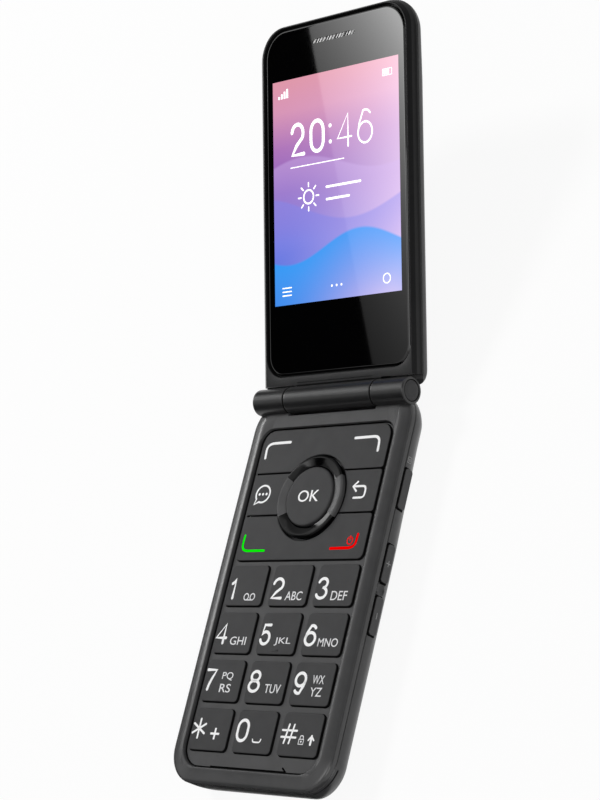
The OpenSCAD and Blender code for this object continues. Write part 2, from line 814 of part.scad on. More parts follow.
module lid_front_housing() {
    color("#2e2e30") on_lid() difference() {
        union() {
            difference() {
                intersection() {
                    lid_form();
                    box(-far, far, lid_start + 2.4, far, lid_split_z, far);
                }
                lid_scallops();
            }
            box(-barrel_half, barrel_half, 0, lid_start + 3, neck_z[0], neck_z[1]);
            along_x(-barrel_half, barrel_half, barrel_r);
        }
        slab(window_back, far)
            outline(-window_half_w - 0.15, window_half_w + 0.15, window_s0 - 0.15,
                    window_s1 + 0.15, 5, 7);
        slab(-far, far) display_outline(display_fit);
        earpiece_slot(-far, far, 0.05);
        along_x(barrel_half - 6, barrel_half + 1, shaft_r + running);
        along_x(-barrel_half - 1, -barrel_half + 6, shaft_r + running);
        along_x(-flex_half - 1, flex_half + 1, flex_r + running);
        neck_steps();
    }
}

outer_window_half = 13.8;
outer_window_s = [lid_l - 59.3, lid_l - 13.3];
outer_window_t = 0.7;
camera_s = outer_window_s[1] - 5.5;
camera_r = 3;
flash_x = 8;
flash_r = 1.3;
outer_display_half = 12.4;
outer_display_s = [outer_window_s[0] + 5, camera_s - 7.5];
lid_screw_spots = [[half_w - 7.8, window_s0 + 4], [half_w - 10.8, lid_l - 9.3]];

module lid_rear_housing() {
    color("#2a2a2c") on_lid() difference() {
        intersection() {
            lid_form();
            box(-far, far, -far, far, -far, lid_split_z - seam);
        }
        lid_cavity(far);
        slab(lid_back - 1, lid_back + outer_window_t + 0.05)
            outline(-outer_window_half - 0.1, outer_window_half + 0.1, outer_window_s[0] - 0.1,
                    outer_window_s[1] + 0.1, 3, 3);
        box(-outer_display_half - 0.1, outer_display_half + 0.1, outer_display_s[0] - 0.1,
            outer_display_s[1] + 0.1, -far, far);
        translate([0, camera_s, -far]) cylinder(r = camera_r + 0.1, h = far);
        translate([flash_x, camera_s, -far]) cylinder(r = flash_r + 0.1, h = far);
        lid_scallops();
        along_x(-barrel_half - 1, barrel_half + 1, barrel_r + seam);
        both_sides() for (p = lid_screw_spots) translate([p[0], p[1], -far])
            cylinder(r = 1.1, h = far);
    }
}

module lid_window() {
    color("#0b0b0c") on_lid() difference() {
        slab(window_back, window_z)
            outline(-window_half_w, window_half_w, window_s0, window_s1, 5, 7);
        earpiece_slot(-far, far, 0);
    }
}

module display_panel() {
    color("#7c6fd0") on_lid() slab(display_back, window_back - 0.02) display_outline(0);
}

// The earpiece grille is a bar with a row of slanted slots
module earpiece_grille() {
    color("#9a9a9e") on_lid() difference() {
        earpiece_slot(window_back, window_z - 0.15, -0.05);
        for (i = [-8:8]) translate([i * 0.82, earpiece_s, 0]) rotate([0, 0, -35])
            box(-0.16, 0.16, -0.8, 0.8, window_z - 0.5, 0);
    }
}

module earpiece() {
    color("#202022") on_lid()
        box(-earpiece_w / 2 + 0.3, earpiece_w / 2 - 0.3, earpiece_s - 2.4, earpiece_s + 3.1,
            lid_board_back + 0.1, lid_split_z - 0.15);
}

module lid_board() {
    color("#1f5a3c") on_lid() slab(lid_board_back, lid_board_z)
        outline(-half_w + 5.3, half_w - 5.3, window_s0 + 2.5, earpiece_s - 2.6, 1.5, 1.5);
}

module outer_display() {
    color("#16181b") on_lid()
        box(-outer_display_half, outer_display_half, outer_display_s[0], outer_display_s[1],
            lid_back + outer_window_t + 0.05, lid_board_back - 0.02);
}

module outer_window() {
    color("#0b0b0c") on_lid() difference() {
        slab(lid_back, lid_back + outer_window_t)
            outline(-outer_window_half, outer_window_half, outer_window_s[0], outer_window_s[1],
                    3, 3);
        translate([0, camera_s, -far]) cylinder(r = camera_r + 0.1, h = far);
        translate([flash_x, camera_s, -far]) cylinder(r = flash_r + 0.1, h = far);
    }
}

module camera_module() {
    color("#3a3a3d") on_lid() translate([0, camera_s, 0]) difference() {
        translate([0, 0, lid_back - 0.1])
            cylinder(r = camera_r, h = lid_board_back - lid_back + 0.08);
        translate([0, 0, lid_back - 1]) cylinder(r = 0.57 * camera_r, h = 1.3);
    }
}

module flash_lamp() {
    color("#e6e2cf") on_lid() translate([flash_x, camera_s, lid_back + 0.05])
        cylinder(r = flash_r, h = lid_board_back - lid_back - 0.07);
}

module lid_screws() {
    color("#8b8d90") on_lid() both_sides() for (p = lid_screw_spots)
        translate([p[0], p[1], lid_back + 0.9]) cylinder(r = 1, h = 1.2);
}

// ---------- the nodes ----------

base_front_housing();
base_rear_housing();
battery_cover();
softkey_plate();
side_plate(-1);  // message_key
side_plate(1);  // back_key
nav_carrier();
nav_ring();
ok_key();
call_plate();
number_key(0, 0);  // key_1
number_key(1, 0);  // key_2
number_key(2, 0);  // key_3
number_key(0, 1);  // key_4
number_key(1, 1);  // key_5
number_key(2, 1);  // key_6
number_key(0, 2);  // key_7
number_key(1, 2);  // key_8
number_key(2, 2);  // key_9
number_key(0, 3);  // key_star
number_key(1, 3);  // key_0
number_key(2, 3);  // key_hash
side_key(camera_key_s);  // camera_key
side_key(volume_up_s);  // volume_up_key
side_key(volume_down_s);  // volume_down_key
dome_sheet();
main_board();
side_switches();
battery();
battery_contacts();
loudspeaker();
speaker_mesh();
vibration_motor();
card_socket();
usb_socket();
headset_jack();
microphone();
base_screws();
hinge_cartridge();
hinge_shaft();
hinge_pin();
hinge_caps();
flex_cable();
lid_front_housing();
lid_rear_housing();
lid_window();
display_panel();
earpiece_grille();
earpiece();
lid_board();
outer_display();
outer_window();
camera_module();
flash_lamp();
lid_screws();
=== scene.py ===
"""Looks of a flip phone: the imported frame's pieces dressed with moulded shells, keys and legends.

Shapes are drawn in millimetres about the hinge axis. On the base, +Y points from the keypad to the
hinge, so places along the keypad have a negative Y. On the lid, +Y runs from the hinge to the top
and +Z out of the display.
"""
import json
import math

import bmesh
import bpy
from mathutils import Matrix, Vector

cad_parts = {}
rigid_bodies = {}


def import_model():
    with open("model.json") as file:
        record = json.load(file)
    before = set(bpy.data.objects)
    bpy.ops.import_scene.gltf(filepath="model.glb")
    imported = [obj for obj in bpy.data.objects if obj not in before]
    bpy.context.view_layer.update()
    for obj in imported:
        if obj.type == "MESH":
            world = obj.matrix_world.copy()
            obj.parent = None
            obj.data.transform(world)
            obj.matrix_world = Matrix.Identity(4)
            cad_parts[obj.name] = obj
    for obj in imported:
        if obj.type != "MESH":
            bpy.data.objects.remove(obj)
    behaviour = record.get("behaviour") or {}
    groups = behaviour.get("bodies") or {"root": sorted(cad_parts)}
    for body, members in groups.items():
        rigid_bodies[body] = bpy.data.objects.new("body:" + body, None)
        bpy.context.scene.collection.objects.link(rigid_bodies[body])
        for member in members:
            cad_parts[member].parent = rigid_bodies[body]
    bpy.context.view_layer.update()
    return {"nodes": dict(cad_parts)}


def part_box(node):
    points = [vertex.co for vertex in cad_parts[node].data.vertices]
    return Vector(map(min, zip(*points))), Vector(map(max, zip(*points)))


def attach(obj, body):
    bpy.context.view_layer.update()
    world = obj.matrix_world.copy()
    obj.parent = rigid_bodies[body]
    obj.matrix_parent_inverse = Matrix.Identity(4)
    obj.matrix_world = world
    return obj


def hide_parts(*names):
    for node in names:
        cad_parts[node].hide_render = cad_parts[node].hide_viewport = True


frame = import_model()

# ---------- places ----------

LID_TILT = math.radians(20)
pin_low, pin_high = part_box("hinge_pin")
AXIS = Matrix.Translation((0, (pin_low.y + pin_high.y) / 2, (pin_low.z + pin_high.z) / 2))
MILLIMETRES = Matrix.Scale(0.001, 4)
BASE = AXIS @ MILLIMETRES
LID = AXIS @ Matrix.Rotation(LID_TILT, 4, "X") @ MILLIMETRES
# Turns a shape drawn in X and Y so that its X runs along the body, its Y up and its Z to the right
SIDEWAYS = Matrix(((0, 0, 1, 0), (1, 0, 0, 0), (0, 1, 0, 0), (0, 0, 0, 1)))
UPRIGHT = Matrix.Rotation(math.radians(-90), 4, "Y")
# Places beyond everything, for the shapes that cut
FAR = 200
DEEP = -20

# The base: its outline, and heights from its rim down to its back
HALF_W = 26.3
BASE_L = 97.0
BASE_END = 1.5
RIM = -0.1
FLOOR = -1.0
FLOOR_BACK = -2.0
SPLIT = -2.3
BASE_BACK = -10.3
COVER_SEAM = -7.2
COVER_NEAR = 36.0
SEAM = 0.1
RECESS_HALF, RECESS_FAR, RECESS_NEAR = 22.25, -93.0, -7.2
RECESS_RADII = (5.5, 4)
# The hinge
BARREL_R = 3.36
BARREL_HALF = 14.55
KNUCKLE_END = 25.2
# The keys: half the size of a number key, the distance from key to key across and along, where
# the first row starts, and the gaps above and left, and right and below
KEY_TOP = -0.45
KEY_HALF_W, KEY_HALF_H = 6.3, 5.1
KEY_PITCH, ROW_PITCH = 14.85, 11.93
FIRST_ROW = 53.3
GAP, WIDE_GAP = 0.12, 0.27
PLATE_HALF = 21.15
PLATES_FAR = -41.75
RING_CLEARANCE = 11.0
NAV_Y = -25.9
NAV_TOP = 0.45
SIDE_FACE = HALF_W + 0.42
SIDE_Z = -3.8
SIDE_KEYS = {"camera_key": (18.7, 28.5), "volume_up_key": (37.4, 46.5),
             "volume_down_key": (50.0, 59.1)}
# The lid: its length, and heights from its frame down to its back
LID_L = 95.3
FRAME = -0.95
WINDOW = -1.35
WINDOW_BACK = -2.35
LID_SPLIT = -2.9
LID_BACK = -7.95
PICTURE_HALF = 21.36
PICTURE = (24.2, 81.16)
EARPIECE_Y = 89.4
CAMERA_Y = 76.5


# ---------- shapes ----------

def level(box, radii, z, grow, least=0.1):
    """An outline for a loft: a box with rounded corners at a height, grown on all sides."""
    x0, x1, y0, y1 = box
    low, high = [max(radius + grow, least) for radius in radii]
    return x0 - grow, x1 + grow, y0 - grow, y1 + grow, low, high, z


def edge_levels(box, radii, bottom, top, edge, least=0.1):
    """The outlines of a block whose upper edge is rounded by steps of growth and depth."""
    return [level(box, radii, bottom, 0, least)] + [
        level(box, radii, top - depth, grow, least) for grow, depth in edge]


def outline(bm, x0, x1, y0, y1, r_low, r_high, z, steps):
    """A level face with rounded corners, of radius r_low at y0 and r_high at y1."""
    corners = [bm.verts.new((x, y, z)) for x, y in ((x0, y0), (x1, y0), (x1, y1), (x0, y1))]
    bm.faces.new(corners)
    for pair, radius in ((corners[:2], r_low), (corners[2:], r_high)):
        made = bmesh.ops.bevel(bm, geom=pair, offset=radius, offset_type="OFFSET",
                               segments=steps, profile=0.5, affect="VERTICES", material=-1)
    return made["verts"][0].link_faces[0]


def face_outward(bm):
    """Turns every face of a shape outward."""
    bmesh.ops.recalc_face_normals(bm, faces=bm.faces[:])
    if bm.calc_volume(signed=True) < 0:
        bmesh.ops.reverse_faces(bm, faces=bm.faces[:])
    return bm


def loft(levels, steps=12):
    """A closed body drawn out from level to level, which all have the same run of corners."""
    bm = bmesh.new()
    current, *targets = [outline(bm, *each, steps) for each in levels]
    for target in targets:
        places = {tuple(vert.co): goal.co.copy()
                  for vert, goal in zip(current.verts, target.verts)}
        bmesh.ops.delete(bm, geom=[target], context="FACES")
        made = bmesh.ops.extrude_face_region(bm, geom=[current])["geom"]
        drawn = next(part for part in made if isinstance(part, bmesh.types.BMFace))
        if current.is_valid and len(current.edges[0].link_faces) > 2:
            bmesh.ops.delete(bm, geom=[current], context="FACES_ONLY")
        for vert in drawn.verts:
            vert.co = places[tuple(vert.co)]
        current = drawn
    return face_outward(bm)


def moved(bm, matrix):
    """Moves a whole shape."""
    bmesh.ops.transform(bm, matrix=matrix, verts=bm.verts[:])
    return bm


def revolved(profile, steps=96):
    """A body turned about the X axis from (x, radius) points, whose ends lie on the axis."""
    bm = bmesh.new()
    points = [bm.verts.new((x, 0, r)) for x, r in profile]
    edges = [bm.edges.new(pair) for pair in zip(points, points[1:])]
    bmesh.ops.spin(bm, geom=points + edges, cent=(0, 0, 0), axis=(1, 0, 0), dvec=(0, 0, 0),
                   angle=2 * math.pi, steps=steps, use_merge=True, use_duplicate=False)
    bmesh.ops.remove_doubles(bm, verts=bm.verts[:], dist=1e-5)
    return face_outward(bm)


def turned(profile, centre, steps):
    """A body turned about an upright axis, from (radius, z) points."""
    bm = revolved([(z, r) for r, z in profile], steps)
    return face_outward(moved(bm, Matrix.Translation((*centre, 0)) @ UPRIGHT))


def peg(x, y, radius, z0, z1, steps=32):
    """An upright cylinder."""
    return turned([(0, z0), (radius, z0), (radius, z1), (0, z1)], (x, y), steps)


def rod(x0, x1, radius, steps=96):
    """A cylinder along the hinge axis."""
    return revolved([(x0, 0), (x0, radius), (x1, radius), (x1, 0)], steps)


def prism(box, radii, z0, z1, steps=8, grow=0.0):
    """A straight-sided block with a rounded outline, of one radius or of two."""
    radii = radii if isinstance(radii, tuple) else (radii, radii)
    return loft([level(box, radii, z, grow) for z in (z0, z1)], steps)


def block(x0, x1, y0, y1, z0, z1):
    bm = bmesh.new()
    bmesh.ops.create_cube(bm, size=1)
    size = Matrix.Diagonal((x1 - x0, y1 - y0, z1 - z0, 1))
    middle = Matrix.Translation(((x0 + x1) / 2, (y0 + y1) / 2, (z0 + z1) / 2))
    return moved(bm, middle @ size)


def whole(bm):
    return bm.verts[:] + bm.edges[:] + bm.faces[:]


def both_sides(bm):
    """Adds the mirror image of a shape on the other side."""
    bmesh.ops.mirror(bm, geom=whole(bm), axis="X", merge_dist=-1)
    return face_outward(bm)


def plane_cut(bm, place, normal, clear=True):
    """Adds a run of edges where a plane crosses a shape, and can clear what lies beyond it."""
    bmesh.ops.bisect_plane(bm, geom=whole(bm), dist=1e-5, plane_co=place, plane_no=normal,
                           clear_outer=clear)


def add_object(name, data):
    """Puts a new object of a mesh, curve, lamp or camera in the scene."""
    thing = bpy.data.objects.new(name, data)
    bpy.context.scene.collection.objects.link(thing)
    return thing


def mesh_of(name, bm):
    """A mesh of a shape, which is used up."""
    mesh = bpy.data.meshes.new(name)
    bm.to_mesh(mesh)
    bm.free()
    return mesh


def shape_of(thing):
    """The shape that an object's modifiers or its curve give it. The object itself goes."""
    bpy.context.view_layer.update()
    seen = thing.evaluated_get(bpy.context.evaluated_depsgraph_get())
    bm = bmesh.new()
    bm.from_mesh(seen.to_mesh())
    seen.to_mesh_clear()
    bpy.data.batch_remove([thing, thing.data])
    return bm


def carve(bm, tools, operation="DIFFERENCE"):
    """Cuts every tool out of a shape, or keeps what they share."""
    target, *helpers = [add_object("shape", mesh_of("shape", part)) for part in [bm, *tools]]
    for helper in helpers:
        cut = target.modifiers.new("cut", "BOOLEAN")
        cut.object, cut.operation, cut.solver = helper, operation, "EXACT"
    result = shape_of(target)
    bpy.data.batch_remove([part for helper in helpers for part in (helper, helper.data)])
    bmesh.ops.remove_doubles(result, verts=result.verts[:], dist=1e-4)
    bmesh.ops.dissolve_degenerate(result, dist=1e-4, edges=result.edges[:])
    return result


def join(*shapes):
    """Puts several shapes into one."""
    result = bmesh.new()
    for shape in shapes:
        mesh = mesh_of("shape", shape)
        result.from_mesh(mesh)
        bpy.data.meshes.remove(mesh)
    return result


def shade(bm, index, test):
    """Gives another of its finishes, some of them painted shade or a painted sheen, to each face
    whose middle and normal pass a test.
    """
    for face in bm.faces:
        if test(face.calc_center_median(), face.normal):
            face.material_index = index
    return bm


def piece(name, bm, place, finishes, body, node=None, sharp=30):
    """Makes a finished piece of a shape, smooth but for its edges sharper than an angle."""
    moved(bm, place)
    for face in bm.faces:
        face.smooth = True
    limit = math.radians(sharp)
    for edge in bm.edges:
        edge.smooth = len(edge.link_faces) == 2 and edge.calc_face_angle(0) < limit
    thing = add_object(name, mesh_of(name, bm))
    for finish in finishes:
        thing.data.materials.append(finish)
    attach(thing, body)
    if node:
        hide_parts(node)


# ---------- materials ----------

def fill(tree, made, sockets):
    """Gives a node's sockets values, or links them to other nodes' outputs."""
    for name, value in dict(sockets).items():
        if isinstance(value, bpy.types.NodeSocket):
            tree.links.new(value, made.inputs[name])
        else:
            made.inputs[name].default_value = value


def add_node(tree, kind, sockets=(), **settings):
    made = tree.nodes.new("ShaderNode" + kind)
    for name, value in settings.items():
        setattr(made, name, value)
    fill(tree, made, sockets)
    return made


def calc(tree, operation, *values, clamp=False):
    """The result of a sum with values and other nodes' outputs."""
    return add_node(tree, "Math", enumerate(values), operation=operation,
                    use_clamp=clamp).outputs[0]


def shader(name):
    """A new node material, its Principled shader and its node tree."""
    material = bpy.data.materials.new(name)
    material.use_nodes = True
    return material, material.node_tree.nodes["Principled BSDF"], material.node_tree


def own_place(tree):
    """A point's place on its piece, in metres."""
    return add_node(tree, "TexCoord").outputs["Object"]


def along(tree, direction):
    """How far a point lies along a direction."""
    return add_node(tree, "VectorMath", {0: own_place(tree), 1: direction},
                    operation="DOT_PRODUCT").outputs["Value"]


def noise(tree, scale, detail, roughness):
    """Noise over a piece, with the size of its cells given by the scale per metre."""
    return add_node(tree, "TexNoise", {"Vector": own_place(tree), "Scale": scale,
                                       "Detail": detail, "Roughness": roughness}).outputs["Fac"]


def spread(tree, source, low, high):
    """Maps a noise to a range of values."""
    return add_node(tree, "MapRange", {"Value": source, "From Min": 0.3, "From Max": 0.7,
                                       "To Min": low, "To Max": high}).outputs["Result"]


def blended(tree, factor, first, second):
    """A mix of two colours, each of them given or another node's."""
    first, second = [colour if isinstance(colour, bpy.types.NodeSocket) else (*colour, 1)
                     for colour in (first, second)]
    return add_node(tree, "Mix", {"Factor": factor, "A": first, "B": second},
                    data_type="RGBA").outputs["Result"]


def finish_of(name, colour, roughness, specular=0.5, grain=6000, grain_depth=0.000004, vary=0.08,
              rough_vary=0.04, metallic=0.0):
    """A moulded, printed or plated surface with a fine grain and a slight unevenness."""
    material, principled, tree = shader(name)
    cloud = spread(tree, noise(tree, 220, 3.0, 0.5), 0, 1)
    fine = noise(tree, grain, 2.0, 0.6)
    darker, lighter = [[c * share for c in colour] for share in (1 - vary, 1 + vary)]
    fill(tree, principled, {
        "Base Color": blended(tree, cloud, darker, lighter),
        "Roughness": spread(tree, fine, roughness - rough_vary, roughness + rough_vary),
        "Metallic": metallic, "Specular IOR Level": specular})
    if grain_depth:
        bump = add_node(tree, "Bump", {"Distance": grain_depth, "Strength": 1, "Height": fine})
        fill(tree, principled, {"Normal": bump.outputs["Normal"]})
    return material


def grey(level_of_grey, blue):
    return level_of_grey, level_of_grey, blue


charcoal = finish_of("charcoal_plastic", grey(0.057, 0.058), 0.40, 0.17)
lid_charcoal = finish_of("lid_plastic", grey(0.016, 0.0165), 0.32, 0.2)
# A darker, less glossy copy of the lid plastic for the frame's sloped edges: painted shade
lid_edge_painted_shade = finish_of("lid_painted_shade_plastic", grey(0.008, 0.0085), 0.30, 0.1)
charcoal_deep = finish_of("deep_charcoal_plastic", grey(0.042, 0.043), 0.32, 0.35)
lid_deep = finish_of("deep_lid_plastic", grey(0.036, 0.037), 0.36, 0.25)
rim_grey = finish_of("rim_plastic", grey(0.050, 0.051), 0.22, 0.4)
barrel_grey = finish_of("hinge_plastic", grey(0.012, 0.0125), 0.31, 0.5)
cap_grey = finish_of("cap_plastic", grey(0.030, 0.031), 0.45, 0.25)
key_grey = finish_of("key_plastic", grey(0.038, 0.039), 0.42, 0.13)
# A near-black finish put on flanks, gaps, seams and grooves where shadow falls: painted shade
painted_shade_black = finish_of("painted_shade_in_gaps", grey(0.006, 0.006), 0.6, 0.05, grain_depth=0)
dark_gloss = finish_of("glossy_ring_plastic", grey(0.001, 0.0012), 0.08, 0.1, grain_depth=0,
                       rough_vary=0.02)
# The ring's side quarters, much paler than its glossy black: a painted sheen standing in for an
# anisotropic reflection, with a real change of roughness
painted_sheen_satin = finish_of("satin_ring_painted_sheen", grey(0.084, 0.085), 0.20, 0.05, grain_depth=0,
                       rough_vary=0.02)
window_gloss = finish_of("window_gloss", grey(0.0008, 0.0009), 0.02, grain_depth=0,
                         rough_vary=0.005)
glass_black = finish_of("outer_window_gloss", grey(0.003, 0.0035), 0.05, grain_depth=0,
                        rough_vary=0.01)
white_ink = finish_of("white_ink", grey(0.96, 0.96), 0.5, 0.04, vary=0.02)
pale_ink = finish_of("pale_ink", grey(0.78, 0.79), 0.5, 0.04, vary=0.03)
green_ink = finish_of("green_ink", (0.0, 0.92, 0.0), 0.5, 0.0, vary=0.02)
red_ink = finish_of("red_ink", (0.96, 0.0, 0.0), 0.5, 0.0, vary=0.02)
side_ink = finish_of("side_ink", grey(0.30, 0.30), 0.5, 0.1)
steel = finish_of("bright_steel", (0.55, 0.56, 0.58), 0.28, vary=0.05, metallic=1.0)
brass = finish_of("gilt_contact", (0.62, 0.44, 0.16), 0.3, metallic=1.0)
black_plastic = finish_of("black_plastic", grey(0.012, 0.013), 0.42)
board_green = finish_of("board_lacquer", (0.01, 0.07, 0.035), 0.35, grain=1800)
sheet_film = finish_of("dome_film", grey(0.045, 0.046), 0.4, grain_depth=0)
copper_film = finish_of("flex_film", (0.22, 0.09, 0.03), 0.35)
cell_wrap = finish_of("cell_wrap", (0.24, 0.25, 0.26), 0.4)
mesh_black = finish_of("speaker_cloth", grey(0.010, 0.011), 0.8, grain=5000, grain_depth=0.00003)
lens_glass = finish_of("lens_barrel", grey(0.02, 0.022), 0.3)
lamp_yellow = finish_of("lamp_lens", (0.72, 0.66, 0.42), 0.25)
# In the body, side, lid, barrel and key looks the second finish is painted shade for gaps, flanks,
# seams and grooves; the lid's third finish is painted shade on its frame's sloped edges, and the
# ring's second finish carries a painted sheen
BODY_LOOK = [charcoal, painted_shade_black, rim_grey]
SIDE_LOOK = [charcoal_deep, painted_shade_black]
LID_LOOK = [lid_charcoal, painted_shade_black, lid_edge_painted_shade]
BARREL_LOOK = [barrel_grey, painted_shade_black]
KEY_LOOK = [key_grey, painted_shade_black]
RING_LOOK = [dark_gloss, painted_sheen_satin]

# Heights and colours of the picture's sky, and its hills from the back to the front: height,
# swing, waves across, start, colour and weight
SKY = [(0.0, (0.09, 0.20, 0.78)), (0.28, (0.16, 0.20, 0.78)), (0.5, (0.24, 0.12, 0.56)),
       (0.7, (0.45, 0.19, 0.52)), (0.86, (0.72, 0.32, 0.50)), (1.0, (0.78, 0.33, 0.42))]
HILLS = ((0.60, 0.050, 5.0, 0.4, (0.66, 0.46, 0.88), 0.40),
         (0.42, 0.070, 4.2, 2.1, (0.24, 0.26, 0.86), 0.50),
         (0.24, 0.060, 5.6, 4.0, (0.02, 0.37, 1.0), 0.85))


def picture_material():
    """The lit picture: soft hills of violet and blue under a pink sky, below a glossy window."""
    material, principled, tree = shader("lit_picture")
    place = add_node(tree, "UVMap", uv_map="picture")
    split = add_node(tree, "SeparateXYZ", {0: place.outputs["UV"]})
    u, v = split.outputs["X"], split.outputs["Y"]
    sky = add_node(tree, "ValToRGB", {"Fac": v})
    stops = sky.color_ramp.elements
    while len(stops) < len(SKY):
        stops.new(0.5)
    for stop, (position, colour) in zip(stops, SKY):
        stop.position, stop.color = position, (*colour, 1)
    # The right side is paler towards the bottom
    sinking = calc(tree, "SUBTRACT", 1.15, calc(tree, "MULTIPLY", v, 0.95))
    pale = calc(tree, "MULTIPLY", calc(tree, "POWER", u, 1.6), sinking, clamp=True)
    colour = blended(tree, pale, sky.outputs["Color"], (0.92, 0.66, 0.93))
    for height, swing, pace, start, tint, weight in HILLS:
        turn = calc(tree, "ADD", calc(tree, "MULTIPLY", u, pace), start)
        wave = calc(tree, "MULTIPLY", calc(tree, "SINE", turn), swing)
        depth = calc(tree, "SUBTRACT", calc(tree, "ADD", wave, height), v)
        inside = calc(tree, "MULTIPLY", depth, 90.0, clamp=True)
        fade = calc(tree, "SUBTRACT", 1.0, calc(tree, "MULTIPLY", depth, 2.4), clamp=True)
        amount = calc(tree, "MULTIPLY", calc(tree, "MULTIPLY", inside, fade), weight, clamp=True)
        colour = blended(tree, amount, colour, tint)
    fill(tree, principled, {"Base Color": (0.002, 0.002, 0.002, 1), "Roughness": 0.02,
                            "Specular IOR Level": 0.5, "Emission Color": colour,
                            "Emission Strength": 0.95})
    return material


# The earpiece's bars: how far apart they are in metres, and how much they slant
BAR_PITCH = 0.00108
BAR_SLANT = 0.75


def hatch_material():
    """A black grille with fine slanting bars."""
    material, principled, tree = shader("earpiece_hatch")
    across = [math.tau / BAR_PITCH * part for part in (
        1.0, -BAR_SLANT * math.cos(LID_TILT), -BAR_SLANT * math.sin(LID_TILT))]
    bars = calc(tree, "GREATER_THAN", calc(tree, "SINE", along(tree, across)), -0.1)
    fill(tree, principled, {"Roughness": 0.4, "Base Color": blended(
        tree, bars, grey(0.02, 0.02), grey(0.90, 0.90))})
    return material


picture = picture_material()
earpiece_hatch = hatch_material()
lit_white, lit_shader, lit_tree = shader("lit_white")
fill(lit_tree, lit_shader, {"Base Color": (0.8, 0.8, 0.8, 1), "Emission Color": (1, 1, 1, 1),
                            "Emission Strength": 0.75})


# ---------- base shells ----------

# Inset from the side and depth below the rim, down to the parting line
RIM_LEVELS = [(0, 1.2), (0.05, 0.96), (0.18, 0.79), (0.4, 0.65), (0.75, 0.53), (1.3, 0.41),
              (1.9, 0.27), (2.6, 0.12), (3.05, 0.043), (3.3, 0.012), (3.5, 0.0)]
# Growth and height of the recess's wall, from the rim down to its floor
RECESS_WALL = ((0.45, RIM), (0.36, RIM - 0.02), (0.27, RIM - 0.08), (0.2, RIM - 0.2),
               (0.12, RIM - 0.45), (0.06, RIM - 0.68), (0.03, FLOOR + 0.08), (0, FLOOR))


def base_level(grow, z):
    """The outline of the base, drawn in by a negative growth."""
    return level((-HALF_W, HALF_W, -BASE_L, BASE_END), (8.5, 9), z, grow, 1.5)


def recess_level(grow, z):
    return (-RECESS_HALF - grow, RECESS_HALF + grow, RECESS_FAR - grow, RECESS_NEAR + 0.25 * grow,
            RECESS_RADII[0] + grow, RECESS_RADII[1] + 0.5 * grow, z)


def cavity_level(half, end, z):
    """The outline of a step of the base's inside."""
    return -half, half, -BASE_L + end, -end - 3, 6, 6, z


def number_place(column, row):
    """The middle of a number key."""
    return (column - 1) * KEY_PITCH, -(FIRST_ROW + row * ROW_PITCH - KEY_HALF_H)


def number_opening(column, row):
    """The opening of a number key, whose gap is wider on the right and below."""
    x, y = number_place(column, row)
    return prism((x - KEY_HALF_W - GAP, x + KEY_HALF_W + WIDE_GAP,
                  y - KEY_HALF_H - WIDE_GAP, y + KEY_HALF_H + GAP), 1.3, SPLIT - 1, 3, 6)


def base_hinge_cuts():
    """What the hinge needs cut out of the base: the middle barrel's room and the outer ends."""
    reach = BARREL_R + SEAM
    ends = revolved([(KNUCKLE_END, 0), (KNUCKLE_END, reach), (FAR, reach), (FAR, 0)])
    return [rod(-BARREL_HALF - SEAM, BARREL_HALF + SEAM, BARREL_R + 0.7), both_sides(ends)]


levels = [cavity_level(24.4, 1.9, z) for z in (FLOOR_BACK, SPLIT)]
levels += [base_level(-0.12, SPLIT), base_level(0, SPLIT + 0.12)]
levels += [base_level(-inset, RIM - depth) for inset, depth in RIM_LEVELS]
levels += [recess_level(grow, z) for grow, z in RECESS_WALL]
recess = (-RECESS_HALF, RECESS_HALF, RECESS_FAR, RECESS_NEAR)
groove = carve(prism(recess, RECESS_RADII, FLOOR - 0.4, FLOOR + 0.05, 12),
               [prism(recess, RECESS_RADII, -3, 1, 12, -0.27)])
openings = [number_opening(column, row) for column in range(3) for row in range(4)]
openings.append(prism((-PLATE_HALF - GAP, PLATE_HALF + WIDE_GAP, PLATES_FAR - WIDE_GAP, -7.63),
                      (1.7, 3.3), SPLIT - 1, 3))
slit = prism((-12.6, 12.6, RECESS_FAR, -92.5), 0.2, FLOOR - 0.6, FLOOR + 0.5, 3)
tick = moved(block(0, 1.7, -0.45, 0, FLOOR - 0.6, FLOOR + 0.5),
             Matrix.Translation((11.2, -91.55, 0)) @ Matrix.Rotation(math.radians(-37), 4, "Z"))
front = carve(loft(levels), openings + base_hinge_cuts() + [slit, tick, groove])
shade(front, 2, lambda middle, normal: middle.z > SPLIT and (
    abs(middle.x) > RECESS_HALF or middle.y < RECESS_FAR))
# Painted shade: the walls of the key openings, the groove round the recess floor and the lower part
# of the recess wall take the near-black finish of shadow
shade(front, 1, lambda middle, normal: FLOOR_BACK + 0.05 < middle.z < FLOOR - 0.02
      and abs(middle.x) < 22.4 and -93.2 < middle.y < -7.1)
shade(front, 1, lambda middle, normal: FLOOR + 0.02 < middle.z < RIM - 0.69
      and abs(middle.x) < 22.65 and middle.y > -93.4 and abs(normal.z) < 0.6)
piece("front_housing", front, BASE, BODY_LOOK, "base", "base_front_housing")


def barrel_end(x):
    """The profile of a barrel's rounded end, from the axis out to its surface."""
    return [(x, 0), (x, BARREL_R - 0.2), (x + 0.07, BARREL_R - 0.06), (x + 0.2, BARREL_R),
            (x + 0.5, BARREL_R)]


def paint_shade_on_seams(bm):
    """Gives the ends of the barrels that face each other painted shade: a near-black finish for the
    shadow in the seams.
    """
    return shade(bm, 1, lambda middle, normal:
                 abs(abs(middle.x) - BARREL_HALF - SEAM / 2) < 0.24)


